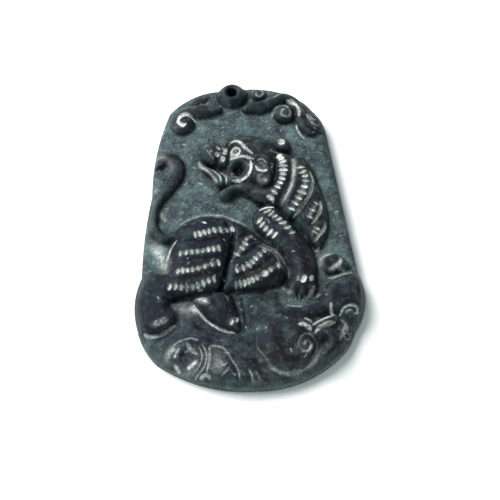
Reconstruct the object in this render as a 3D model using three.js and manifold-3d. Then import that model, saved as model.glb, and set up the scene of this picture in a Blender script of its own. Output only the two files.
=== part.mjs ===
// A carved stone pendant, lying on its plain back: a domed plaque with a tiger in relief under cloud
// scrolls, with two square-holed coins and a scroll head below it and a drilled bead at the top.
// Millimetres, +Z out of the carved front, +Y towards the bead, origin under the middle of the back.

import * as THREE from 'three';
import { mergeVertices } from 'three/addons/utils/BufferGeometryUtils.js';
import Module from 'manifold-3d';

// The blank: a plate with a rounded edge, a crowned front and a flat back.
const EDGE_HEIGHT = 1.6;
const EDGE_ROUND = 1.6;
const BACK_ROUND = 1.3;
const BACK_STEPS = 2;
const RIM_GROUND = 2.9;
const GROUND_CROWN = 1.3;
const CROWN_HALF_WIDTH = 19.5;
const CROWN_HALF_HEIGHT = 29.5;

// The relief stands this high above the ground at most, and fades towards the edge.
const RELIEF_LIMIT = 3.2;
const RELIEF_FADE = 1.5;
const FORM_BLEND = 0.3;
const FORM_FULLNESS = 2.3;

// The bead at the top and its drilled cord hole.
const BEAD = [-0.8, 26.1];
const BEAD_RADIUS = 2.85;
const BEAD_HEIGHT = 1.7;
const HOLE_DIAMETER = 1.8;
const HOLE_SIDES = 20;
const HOLE_OVERRUN = 1;

// How finely the surface is divided.
const COLUMNS = 56;
const ROWS = 76;
const CURVE_STEPS = 8;

// The outline runs anticlockwise as arcs: where each starts, and how far it bows out of its chord.
// The divisions of the front have their four corners at the corner entries.
const OUTLINE = [
  { at: [14.3, -22.2], bow: 0.3, corner: true },
  { at: [16.7, -18.3], bow: 1.4 },
  { at: [18.0, -8.6], bow: 0 },
  { at: [14.85, 19.2], bow: 0.3 },
  { at: [12.8, 23.05], bow: 0.25, corner: true },
  { at: [9.9, 25.85], bow: 0.6 },
  { at: [1.36, 27.95], bow: 1.1 },
  { at: [-2.96, 27.85], bow: 1.0 },
  { at: [-11.8, 23.8], bow: 0.75, corner: true },
  { at: [-15.5, 8.2], bow: 0.35 },
  { at: [-17.9, -6.8], bow: 0.75 },
  { at: [-19.1, -15.6], bow: 0.5 },
  { at: [-16.2, -21.9], bow: 1.5, corner: true },
  { at: [0.0, -27.5], bow: 1.6 },
];

// A smooth curve through a few points, as a run of short straight steps.
function curve(points, closed = false) {
  const through = points.map(([x, y]) => new THREE.Vector3(x, y, 0));
  const spans = closed ? points.length : points.length - 1;
  return new THREE.CatmullRomCurve3(through, closed, 'catmullrom').getPoints(spans * CURVE_STEPS);
}

// The distance from a point to a run of steps, and the share of the run at its nearest place.
function nearest(run, x, y) {
  let gap = Infinity;
  let share = 0;
  for (let i = 0; i + 1 < run.length; i += 1) {
    const { x: x0, y: y0 } = run[i];
    const dx = run[i + 1].x - x0;
    const dy = run[i + 1].y - y0;
    const along = THREE.MathUtils.clamp(((x - x0) * dx + (y - y0) * dy) / (dx * dx + dy * dy), 0, 1);
    const here = Math.hypot(x - x0 - along * dx, y - y0 - along * dy);
    if (here < gap) {
      gap = here;
      share = (i + along) / (run.length - 1);
    }
  }
  return { gap, share };
}

function isInside(run, x, y) {
  let inside = false;
  for (let i = 0; i + 1 < run.length; i += 1) {
    const a = run[i];
    const b = run[i + 1];
    if (a.y > y !== b.y > y && x < ((b.x - a.x) * (y - a.y)) / (b.y - a.y) + a.x) inside = !inside;
  }
  return inside;
}

// A value given at even steps along a run.
function graded(values, share) {
  const place = share * (values.length - 1);
  const step = Math.min(Math.floor(place), values.length - 2);
  return THREE.MathUtils.lerp(values[step], values[step + 1], place - step);
}

// A quarter round, from 0 at its start to 1.
function quarterRound(inward) {
  return Math.sqrt(1 - (1 - Math.min(inward, 1)) ** 2);
}

// How far a form swells from its foot (0) to its top (1), running below zero outside the foot.
function swell(inward) {
  if (inward <= 0) return 2 * inward;
  return 1 - (1 - Math.min(inward, 1)) ** FORM_FULLNESS;
}

// Forms: each is a function that gives its height above the ground at a point.
function dome([cx, cy], [halfWidth, halfHeight], height, turn = 0) {
  const cos = Math.cos(THREE.MathUtils.degToRad(turn));
  const sin = Math.sin(THREE.MathUtils.degToRad(turn));
  return (x, y) => {
    const u = ((x - cx) * cos + (y - cy) * sin) / halfWidth;
    const v = ((y - cy) * cos - (x - cx) * sin) / halfHeight;
    return height * swell(1 - Math.hypot(u, v));
  };
}

function limb(points, halfWidths, height) {
  const run = curve(points);
  return (x, y) => {
    const { gap, share } = nearest(run, x, y);
    return height * swell(1 - gap / graded(halfWidths, share));
  };
}

function pad(points, height, shoulder) {
  const run = curve(points, true);
  return (x, y) => {
    const { gap } = nearest(run, x, y);
    return height * swell((isInside(run, x, y) ? gap : -gap) / shoulder);
  };
}

// Cuts: each is a function that gives its depth at a point.
function groove(points, width, depth) {
  const run = curve(points);
  return (x, y) => depth * Math.max(0, 1 - (2 * nearest(run, x, y).gap / width) ** 2);
}

function pit([cx, cy], radius, depth) {
  return (x, y) => depth * Math.max(0, 1 - (Math.hypot(x - cx, y - cy) / radius) ** 2);
}

// A scroll's groove, winding inwards from a start angle in degrees.
function scroll([cx, cy], outer, inner, start, turns, width, depth) {
  const steps = Math.ceil(Math.abs(turns) * CURVE_STEPS);
  const points = [];
  for (let i = 0; i <= steps; i += 1) {
    const angle = THREE.MathUtils.degToRad(start + (360 * turns * i) / steps);
    const radius = THREE.MathUtils.lerp(outer, inner, i / steps);
    points.push([cx + radius * Math.cos(angle), cy + radius * Math.sin(angle)]);
  }
  return groove(points, width, depth);
}

const cloudForms = [
  limb([[-3.4, 23.2], [-5.6, 23.2], [-8.2, 23.3], [-9.8, 22.4]], [0.9, 1.5, 1.3, 1.3], 1.2),
  dome([-9.6, 20.9], [2.3, 2.3], 1.2),
  dome([3.7, 26.1], [1.7, 1.5], 0.8),
  limb([[1.5, 23.0], [3.6, 23.2], [6.3, 24.1], [8.2, 25.2], [9.8, 24.4], [10.4, 22.4]],
    [0.9, 1.4, 1.3, 1.1, 1.1, 0.9], 1.2),
  dome([7.95, 21.8], [2.3, 2.2], 1.3),
  limb([[10.6, 22.2], [10.9, 19.6], [11.9, 18.0]], [1.0, 1.2, 1.0], 1.2),
  dome([12.5, 19.6], [2.2, 2.6], 1.2, 20),
];
const cloudCuts = [
  scroll([-9.4, 21.2], 1.6, 0.8, 30, 0.7, 1.0, 0.5),
  scroll([7.95, 21.8], 1.7, 0.8, 200, -1.0, 1.0, 0.5),
];

const tailForms = [
  limb([[-12.2, -0.6], [-14.2, -0.6], [-15.3, 1.6], [-15.0, 3.9], [-13.6, 6.0], [-11.9, 8.1], [-10.9, 10.5],
    [-11.1, 12.7], [-12.6, 14.2], [-14.6, 13.6]], [1.1, 1.2, 1.3, 1.5, 1.5, 1.2], 1.3),
];

const bodyForms = [
  pad([[-12.5, -0.4], [-10.9, 1.4], [-9.0, 2.3], [-6.7, 2.6], [-4.6, 2.3], [-2.7, 1.2], [-2.1, -2.2],
    [-3.0, -6.0], [-4.0, -9.2], [-5.8, -11.4], [-10.0, -11.7], [-14.4, -11.4], [-13.8, -6.5], [-12.9, -3.4]],
  2.5, 3.6),
  pad([[-3.8, 1.6], [-1.2, 0.9], [0.8, -0.6], [2.8, -2.6], [4.8, -4.4], [6.2, -7.2], [5.6, -10.2],
    [2.8, -11.5], [-1.0, -11.7], [-4.6, -11.4], [-4.6, -7.5], [-3.4, -4.0]], 2.1, 2.8),
  pad([[-11.6, -8.2], [-14.0, -7.0], [-16.6, -7.0], [-18.4, -9.0], [-19.2, -12.5], [-19.3, -15.6],
    [-17.8, -17.2], [-15.2, -17.3], [-13.2, -16.3], [-12.3, -14.2], [-13.4, -12.6], [-12.2, -11.2]],
  1.5, 2.0),
  pad([[-9.8, -12.3], [-9.0, -14.2], [-7.8, -15.9], [-6.2, -17.3], [-4.6, -18.3], [-2.5, -18.8],
    [-1.8, -17.4], [-2.3, -14.8], [-3.2, -12.0], [-5.6, -10.9], [-8.2, -11.2]], 1.5, 2.0),
];
const bodyCuts = [
  groove([[-1.9, 0.4], [-2.2, -2.6], [-2.9, -5.0], [-3.6, -7.2], [-4.0, -8.8], [-4.8, -10.4]], 1.3, 0.9),
  groove([[-8.8, -1.7], [-6.0, -1.2], [-2.2, -0.7]], 1.3, 0.25),
  groove([[-11.4, -4.7], [-8.0, -4.6], [-4.8, -4.3]], 1.3, 0.25),
  groove([[-11.9, -7.7], [-9.0, -7.8], [-5.0, -6.8]], 1.3, 0.25),
  groove([[-13.4, -10.2], [-9.6, -10.5], [-5.9, -9.6]], 1.3, 0.25),
  groove([[-2.0, -5.5], [-0.9, -4.2], [0.6, -2.6]], 1.2, 0.25),
  groove([[-2.3, -8.4], [-0.3, -7.6], [2.6, -5.1]], 1.2, 0.25),
  groove([[-2.6, -10.8], [0.4, -10.2], [4.7, -7.9]], 1.2, 0.25),
];

const foreForms = [
  pad([[9.5, 13.2], [11.8, 10.9], [13.0, 6.6], [13.9, 2.0], [13.4, -2.0], [11.9, -4.6], [10.4, -3.6],
    [9.2, -1.6], [7.5, 1.5], [8.0, 6.0], [8.5, 10.0]], 1.4, 1.4),
  pad([[8.9, 13.0], [10.9, 10.6], [11.9, 8.2], [11.5, 5.6], [10.4, 3.4], [8.8, 1.6], [6.9, 0.9], [6.0, 3.4],
    [7.4, 7.0], [8.0, 10.0]], 2.1, 1.2),
  pad([[4.0, 13.8], [6.4, 14.0], [8.4, 13.2], [8.9, 11.0], [8.5, 8.4], [7.4, 5.8], [5.9, 3.5], [4.6, 2.7],
    [2.2, 2.5], [0.4, 4.2], [-0.8, 5.5], [0.5, 7.4], [3.5, 8.0]], 2.4, 2.0),
  limb([[3.7, 1.1], [5.7, -2.0], [7.7, -4.8], [8.7, -7.4], [8.6, -9.6]], [2.8, 3.1, 2.9, 2.5, 2.4], 2.6),
  dome([8.4, -11.0], [2.8, 2.0], 2.1),
  pad([[11.6, -6.6], [12.9, -5.6], [14.5, -5.3], [15.9, -6.4], [17.0, -7.8], [15.2, -8.6], [13.0, -9.2],
    [11.8, -8.2]], 0.9, 1.2),
];
const foreCuts = [
  groove([[6.4, 12.6], [6.9, 10.8], [6.6, 8.4], [5.6, 6.4], [4.2, 4.2]], 1.2, 0.25),
  groove([[9.8, 10.3], [10.4, 8.2], [9.8, 5.6], [7.6, 2.2]], 1.3, 0.25),
  groove([[3.5, 2.0], [5.2, 0.3], [7.5, -2.2]], 1.2, 0.25),
  groove([[2.1, 0.6], [3.2, -1.2], [4.6, -2.6]], 1.0, 0.25),
];

const headForms = [
  pad([[-2.6, 16.2], [-0.9, 17.2], [0.9, 17.7], [2.8, 17.4], [4.6, 16.5], [5.8, 14.8], [5.5, 11.5],
    [4.6, 8.6], [4.0, 6.6], [1.0, 6.4], [0.2, 7.5], [-2.4, 7.9], [-3.0, 10.4], [-3.0, 13.4]], 2.5, 2.4),
  dome([-4.6, 14.4], [2.35, 2.6], 2.4),
  limb([[2.2, 6.4], [-0.4, 6.2], [-2.8, 5.4]], [1.7, 1.4, 1.5], 2.2),
  limb([[-6.9, 12.8], [-6.0, 10.9], [-4.7, 9.4], [-3.4, 8.1]], [0.9, 1.2, 1.2, 0.9], 1.7),
  dome([6.9, 15.2], [1.6, 1.5], 2.0),
];
const headCuts = [
  pit([-0.85, 10.1], 1.6, 2.2),
  pit([-0.98, 13.6], 0.8, 0.4),
  pit([6.9, 15.3], 0.8, 0.5),
  groove([[-1.9, 15.2], [0.0, 15.2], [1.8, 12.9]], 0.8, 0.3),
];

const rockForms = [
  pad([[-20.0, -11.0], [-14.0, -11.6], [-8.0, -11.4], [-3.0, -11.4], [2.0, -11.4], [5.4, -10.8], [7.0, -13.6],
    [10.6, -13.2], [11.8, -10.0], [12.4, -5.4], [15.0, -4.6], [19.0, -7.5], [20.5, -13.0], [19.5, -18.0],
    [15.0, -25.0], [8.0, -29.0], [0.0, -30.5], [-9.0, -29.5], [-18.0, -25.0], [-21.5, -18.0]], 0.4, 1.4),
  pad([[-19.2, -17.6], [-15.6, -17.9], [-12.5, -16.9], [-10.4, -15.2], [-8.6, -17.0], [-5.6, -18.6],
    [-2.4, -19.2], [-0.6, -20.5], [0.4, -24.0], [0.6, -28.0], [-8.0, -29.0], [-17.0, -25.0], [-20.5, -20.0]],
  0.9, 1.6),
  dome([-6.7, -24.9], [4.3, 4.3], 1.35),
  dome([-11.3, -22.5], [3.6, 3.6], 1.5),
];
const coinCuts = [
  pit([-11.0, -22.3], 1.2, 0.6),
];

const scrollForms = [
  dome([5.4, -20.2], [5.5, 5.5], 1.45),
  pad([[11.8, -11.0], [13.2, -9.6], [15.4, -8.7], [18.5, -8.7], [20.4, -13.0], [19.0, -17.8], [16.0, -17.4],
    [14.4, -17.2], [12.2, -15.2]], 1.3, 2.0),
  limb([[10.0, -19.8], [12.2, -19.8], [13.2, -21.4], [11.2, -23.8]], [1.2, 1.8, 2.0, 1.8], 1.2),
  limb([[8.0, -17.6], [9.4, -18.5], [11.0, -17.9], [13.3, -17.1]], [0.9, 0.9, 1.0, 0.9], 1.6),
];
const scrollCuts = [
  scroll([8.4, -21.3], 2.0, 0.9, 300, 1.0, 1.1, 0.5),
  scroll([15.9, -15.9], 1.4, 0.9, 200, -0.8, 1.0, 0.4),
];

const forms = [
  dome(BEAD, [BEAD_RADIUS, BEAD_RADIUS], BEAD_HEIGHT),
  ...cloudForms, ...tailForms, ...bodyForms, ...foreForms, ...headForms, ...rockForms, ...scrollForms,
];
const cuts = [...cloudCuts, ...bodyCuts, ...foreCuts, ...headCuts, ...coinCuts, ...scrollCuts];

// The higher of two heights, rounded where they meet.
function blendMax(a, b) {
  const near = Math.max(FORM_BLEND - Math.abs(a - b), 0) / FORM_BLEND;
  return Math.max(a, b) + (near * near * FORM_BLEND) / 4;
}

function arcBetween(from, to, bow) {
  const start = new THREE.Vector2(...from);
  const end = new THREE.Vector2(...to);
  if (bow === 0) return new THREE.LineCurve(start, end);
  const chord = start.distanceTo(end);
  const radius = (chord * chord) / (8 * bow) + bow / 2;
  const outward = new THREE.Vector2(end.y - start.y, start.x - end.x).divideScalar(chord);
  const centre = start.clone().lerp(end, 0.5).addScaledVector(outward, bow - radius);
  const angles = [start, end].map((point) => Math.atan2(point.y - centre.y, point.x - centre.x));
  return new THREE.EllipseCurve(centre.x, centre.y, radius, radius, ...angles);
}

// The four sides of the outline, each from one corner entry to the next, starting with the right one.
function outlineSides() {
  const sides = [];
  OUTLINE.forEach(({ at, bow, corner }, i) => {
    if (corner) sides.push(new THREE.CurvePath());
    sides.at(-1).add(arcBetween(at, OUTLINE[(i + 1) % OUTLINE.length].at, bow));
  });
  return sides;
}

const [rightSide, topSide, leftSide, bottomSide] = outlineSides();
const outlineRun = [rightSide, topSide, leftSide, bottomSide].flatMap((side) => side.getSpacedPoints(ROWS));

function frontHeight(x, y) {
  const inset = nearest(outlineRun, x, y).gap;
  const crown = 1 - (x / CROWN_HALF_WIDTH) ** 2 - (y / CROWN_HALF_HEIGHT) ** 2;
  const highest = RELIEF_LIMIT * (1 - Math.exp(-inset / RELIEF_FADE));
  let relief = Math.min(forms.reduce((height, form) => blendMax(height, form(x, y)), 0), highest);
  relief -= cuts.reduce((depth, cut) => Math.max(depth, cut(x, y)), 0);
  const rise = RIM_GROUND + GROUND_CROWN * crown + relief - EDGE_HEIGHT;
  return EDGE_HEIGHT + rise * quarterRound(inset / EDGE_ROUND);
}

// A place of the front from a square of divisions: the square's edge lies on the outline.
function frontPlace(u, v) {
  const share = Math.max(Math.abs(u), Math.abs(v));
  if (share === 0) return new THREE.Vector2();
  let edge;
  if (Math.abs(u) >= Math.abs(v)) {
    edge = u > 0 ? rightSide.getPoint((1 + v / u) / 2) : leftSide.getPoint((1 + v / u) / 2);
  } else {
    edge = v > 0 ? topSide.getPoint((1 - u / v) / 2) : bottomSide.getPoint((1 - u / v) / 2);
  }
  return edge.multiplyScalar(share);
}

// The plaque as one closed skin: the carved front, the rounded edge below it and the flat back.
function plaqueGeometry() {
  const places = [];
  const triangles = [];
  const index = (i, j) => j * (COLUMNS + 1) + i;
  for (let j = 0; j <= ROWS; j += 1) {
    for (let i = 0; i <= COLUMNS; i += 1) {
      const { x, y } = frontPlace((2 * i) / COLUMNS - 1, (2 * j) / ROWS - 1);
      const onEdge = i === 0 || j === 0 || i === COLUMNS || j === ROWS;
      places.push([x, y, onEdge ? EDGE_HEIGHT : frontHeight(x, y)]);
    }
  }
  for (let j = 0; j < ROWS; j += 1) {
    for (let i = 0; i < COLUMNS; i += 1) {
      const [a, b, c, d] = [index(i, j), index(i + 1, j), index(i + 1, j + 1), index(i, j + 1)];
      const acrossAC = Math.abs(places[a][2] - places[c][2]) < Math.abs(places[b][2] - places[d][2]);
      if (acrossAC) triangles.push(a, b, c, a, c, d);
      else triangles.push(a, b, d, b, c, d);
    }
  }

  let ring = [];
  for (let i = 0; i < COLUMNS; i += 1) ring.push(index(i, 0));
  for (let j = 0; j < ROWS; j += 1) ring.push(index(COLUMNS, j));
  for (let i = COLUMNS; i > 0; i -= 1) ring.push(index(i, ROWS));
  for (let j = ROWS; j > 0; j -= 1) ring.push(index(0, j));
  const edge = ring.map((k) => places[k]);
  for (let step = 1; step <= BACK_STEPS; step += 1) {
    const angle = (Math.PI / 2) * (step / BACK_STEPS);
    const inward = BACK_ROUND * (1 - Math.cos(angle));
    const lower = edge.map(([x, y]) => {
      const scale = 1 - inward / Math.hypot(x, y);
      return places.push([x * scale, y * scale, EDGE_HEIGHT * (1 - Math.sin(angle))]) - 1;
    });
    ring.forEach((upper, k) => {
      const next = (k + 1) % ring.length;
      triangles.push(upper, lower[k], lower[next], upper, lower[next], ring[next]);
    });
    ring = lower;
  }
  const middle = places.push([0, 0, 0]) - 1;
  ring.forEach((corner, k) => triangles.push(corner, middle, ring[(k + 1) % ring.length]));

  const geometry = new THREE.BufferGeometry();
  geometry.setAttribute('position', new THREE.Float32BufferAttribute(places.flat(), 3));
  geometry.setIndex(triangles);
  return geometry;
}

function holeGeometry() {
  const length = RIM_GROUND + GROUND_CROWN + BEAD_HEIGHT + 2 * HOLE_OVERRUN;
  const geometry = new THREE.CylinderGeometry(HOLE_DIAMETER / 2, HOLE_DIAMETER / 2, length, HOLE_SIDES);
  geometry.rotateX(Math.PI / 2);
  geometry.translate(...BEAD, length / 2 - HOLE_OVERRUN);
  geometry.deleteAttribute('normal');
  geometry.deleteAttribute('uv');
  return mergeVertices(geometry);
}

const wasm = await Module();
wasm.setup();

function solid(geometry) {
  const vertProperties = new Float32Array(geometry.getAttribute('position').array);
  const triVerts = new Uint32Array(geometry.getIndex().array);
  return new wasm.Manifold(new wasm.Mesh({ numProp: 3, vertProperties, triVerts }));
}

function pendantGeometry() {
  const { vertProperties, triVerts } = solid(plaqueGeometry()).subtract(solid(holeGeometry())).getMesh();
  const geometry = new THREE.BufferGeometry();
  geometry.setAttribute('position', new THREE.BufferAttribute(vertProperties, 3));
  geometry.setIndex(new THREE.BufferAttribute(triVerts, 1));
  geometry.computeBoundingBox();
  const middle = geometry.boundingBox.getCenter(new THREE.Vector3());
  geometry.translate(-middle.x, -middle.y, 0);
  geometry.computeVertexNormals();
  return geometry;
}

const stone = new THREE.MeshStandardMaterial({ color: 0x2b3230, roughness: 0.45, metalness: 0 });
const pendant = new THREE.Mesh(pendantGeometry(), stone);
pendant.name = 'pendant';

const carving = new THREE.Group();
carving.add(pendant);

export default carving;
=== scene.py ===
"""Dresses a carved jade pendant: a domed plaque with a tiger in relief, lying on its plain back.

The carving is laid out in millimetres, x to the right and y towards the bead. The mesh is in metres.
"""

import logging
import math
from collections.abc import Sequence
from dataclasses import dataclass, field
from enum import Enum
from typing import Protocol

import bpy
import numpy as np
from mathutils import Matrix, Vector


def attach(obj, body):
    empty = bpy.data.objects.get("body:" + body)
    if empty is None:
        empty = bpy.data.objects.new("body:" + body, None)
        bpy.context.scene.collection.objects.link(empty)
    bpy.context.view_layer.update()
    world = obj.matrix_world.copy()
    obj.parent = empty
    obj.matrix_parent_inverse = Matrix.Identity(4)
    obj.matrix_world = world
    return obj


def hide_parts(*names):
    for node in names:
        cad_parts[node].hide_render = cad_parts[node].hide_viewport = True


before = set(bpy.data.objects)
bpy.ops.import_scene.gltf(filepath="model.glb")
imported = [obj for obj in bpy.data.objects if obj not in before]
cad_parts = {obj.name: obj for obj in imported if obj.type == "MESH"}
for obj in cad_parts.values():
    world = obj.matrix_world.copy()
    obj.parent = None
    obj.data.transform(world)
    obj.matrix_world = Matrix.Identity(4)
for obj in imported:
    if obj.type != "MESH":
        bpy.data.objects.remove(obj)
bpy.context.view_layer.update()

LOG = logging.getLogger("pendant")
MM = 0.001
TINY = 1e-6
NODE = "pendant"

# A curve has ten steps from point to point, and an arc of the edge or a scroll's turn has forty.
CURVE_STEPS = 10
ARC_STEPS = 40

# Outside its foot a form falls away at this slope, so that it doesn't raise the ground around it.
FOOT_SLOPE = 2.0

# Three passes of a plain average come close to a bell-shaped one.
SOFTENING_PASSES = 3

Point = tuple[float, float]
Window = tuple[slice, slice]


class Tone(Enum):
    """How pale a cut or a rubbed place is, from the stone's own colour to the wheel's brightest cut."""

    DARK = 0.0
    TRACE = 0.2
    FAINT = 0.42
    CLEAR = 0.8
    PALE = 1.0
    BRIGHT = 1.5


class Mark(Enum):
    """What the carving marks on its mesh, for the stone's finish to read."""

    FIGURE = "figure"
    CUT = "cut"
    # Painted shade, darkening the hollows and corners.
    WORN = "worn"
    PAINTED_SHADE = "painted_shade"
    # The ground beside the forms and the sides, greener and lighter: partly its own tint, partly painted
    # light against the shade there.
    GREEN_AND_PAINTED_LIGHT = "green_and_painted_light"


def curve_through(points: Sequence[Point], closed: bool = False) -> np.ndarray:
    """Runs a smooth curve, a Catmull-Rom spline, through a few points.

    Args:
        points: The points that the curve passes.
        closed: Whether the curve returns to its start.

    Returns:
        The curve as an array of points, in short straight steps.
    """
    knots = np.asarray(points, float)
    if closed:
        padded = np.vstack([knots[-1:], knots, knots[:2]])
    else:
        padded = np.vstack([2 * knots[:1] - knots[1:2], knots, 2 * knots[-1:] - knots[-2:-1]])
    t = np.linspace(0, 1, CURVE_STEPS, endpoint=False)[:, None]
    spans = []
    for a, b, c, d in zip(padded[:-3], padded[1:-2], padded[2:-1], padded[3:]):
        bend = (2 * a - 5 * b + 4 * c - d) * t**2 + (3 * b - a - 3 * c + d) * t**3
        spans.append(b + ((c - a) * t + bend) / 2)
    last = knots[:1] if closed else knots[-1:]
    return np.vstack([*spans, last])


def winding(centre: Point, outer: float, inner: float, start: float, turns: float) -> np.ndarray:
    """Winds a scroll inwards.

    Args:
        centre: The scroll's eye.
        outer: The radius at its start.
        inner: The radius at its end.
        start: The angle at its start, in degrees.
        turns: How many turns it makes, negative for clockwise.

    Returns:
        The scroll as an array of points.
    """
    share = np.linspace(0, 1, math.ceil(abs(turns) * ARC_STEPS))
    angle = np.radians(start + 360 * turns * share)
    radius = outer + (inner - outer) * share
    return np.stack([centre[0] + radius * np.cos(angle), centre[1] + radius * np.sin(angle)], -1)


def swell(inward: np.ndarray, fullness: float) -> np.ndarray:
    """Gives the share of its height that a form has reached.

    Args:
        inward: How far inside the form's foot a place is, as a share of the way to its top.
        fullness: How quickly the form rises at its foot.

    Returns:
        0 at the foot and 1 on the top, running below zero outside the foot.
    """
    rise = 1 - (1 - np.clip(inward, 0, 1)) ** fullness
    return np.where(inward > 0, rise, FOOT_SLOPE * inward)


def bounded(values: np.ndarray, low: float, high: float) -> np.ndarray:
    """Spreads a band of values over 0 to 1."""
    return np.clip((values - low) / (high - low), 0, 1)


@dataclass(frozen=True)
class GougeRow:
    """A row of short gouges that lie across a curve.

    Attributes:
        points: The curve through the gouges' middles.
        count: How many gouges there are.
        length: A gouge's length.
        width: A gouge's width.
        lean: How far the gouges lean from square, in degrees.
        tone: How pale the gouges are.
    """

    points: tuple[Point, ...]
    count: int
    length: float = 1.3
    width: float = 0.6
    lean: float = 0.0
    tone: Tone = Tone.PALE


@dataclass(frozen=True)
class Hand:
    """The carver's hand: how its strokes end, and how uneven they are.

    Attributes:
        seed: The start of its unevenness.
        wobble: How far a line strays from its drawing.
        unevenness: How much a line's width and paleness vary.
        sway: The weight and the pace of a line's slow and quick variation.
        line_taper: A line's ends taper over one part in this many of its length.
        line_end: The square of the share of its width that a line ends with.
        rub_taper: A rubbing's ends fade over one part in this many of its length.
        rub_end: The square of the share of its paleness that a rubbing ends with.
        rub_falloff: How quickly a rubbing fades to its sides.
        pale_reach: How far a cut's paleness reaches up its walls.
        bowl: How flat the bottom of a gouge is.
        gouge_depth: The depth of the gouges in a row.
        gouge_vary: How much their length, width and depth vary.
        gouge_turn: How far they are turned from the row's lean, in degrees.
        gouge_tone: The share of the row's tone that they have, and how much it varies.
        nick_depth: The depth of a nick.
        nick_least: A nick's least x, y, half length, half width and turn.
        nick_most: A nick's greatest x, y, half length, half width and turn.
    """

    seed: int = 7
    wobble: float = 0.06
    unevenness: float = 0.28
    sway: tuple[Point, Point] = ((0.6, 15.0), (0.4, 53.0))
    line_taper: float = 6.0
    line_end: float = 0.02
    rub_taper: float = 5.0
    rub_end: float = 0.1
    rub_falloff: float = 1.5
    pale_reach: float = 1.8
    bowl: float = 2.6
    gouge_depth: float = 0.32
    gouge_vary: tuple[float, float, float] = (0.2, 0.22, 0.2)
    gouge_turn: float = 9.0
    gouge_tone: Point = (0.84, 0.2)
    nick_depth: float = 0.06
    nick_least: tuple[float, ...] = (-18.0, -27.0, 0.2, 0.08, 0.0)
    nick_most: tuple[float, ...] = (18.0, 28.0, 0.5, 0.13, 180.0)


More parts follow.
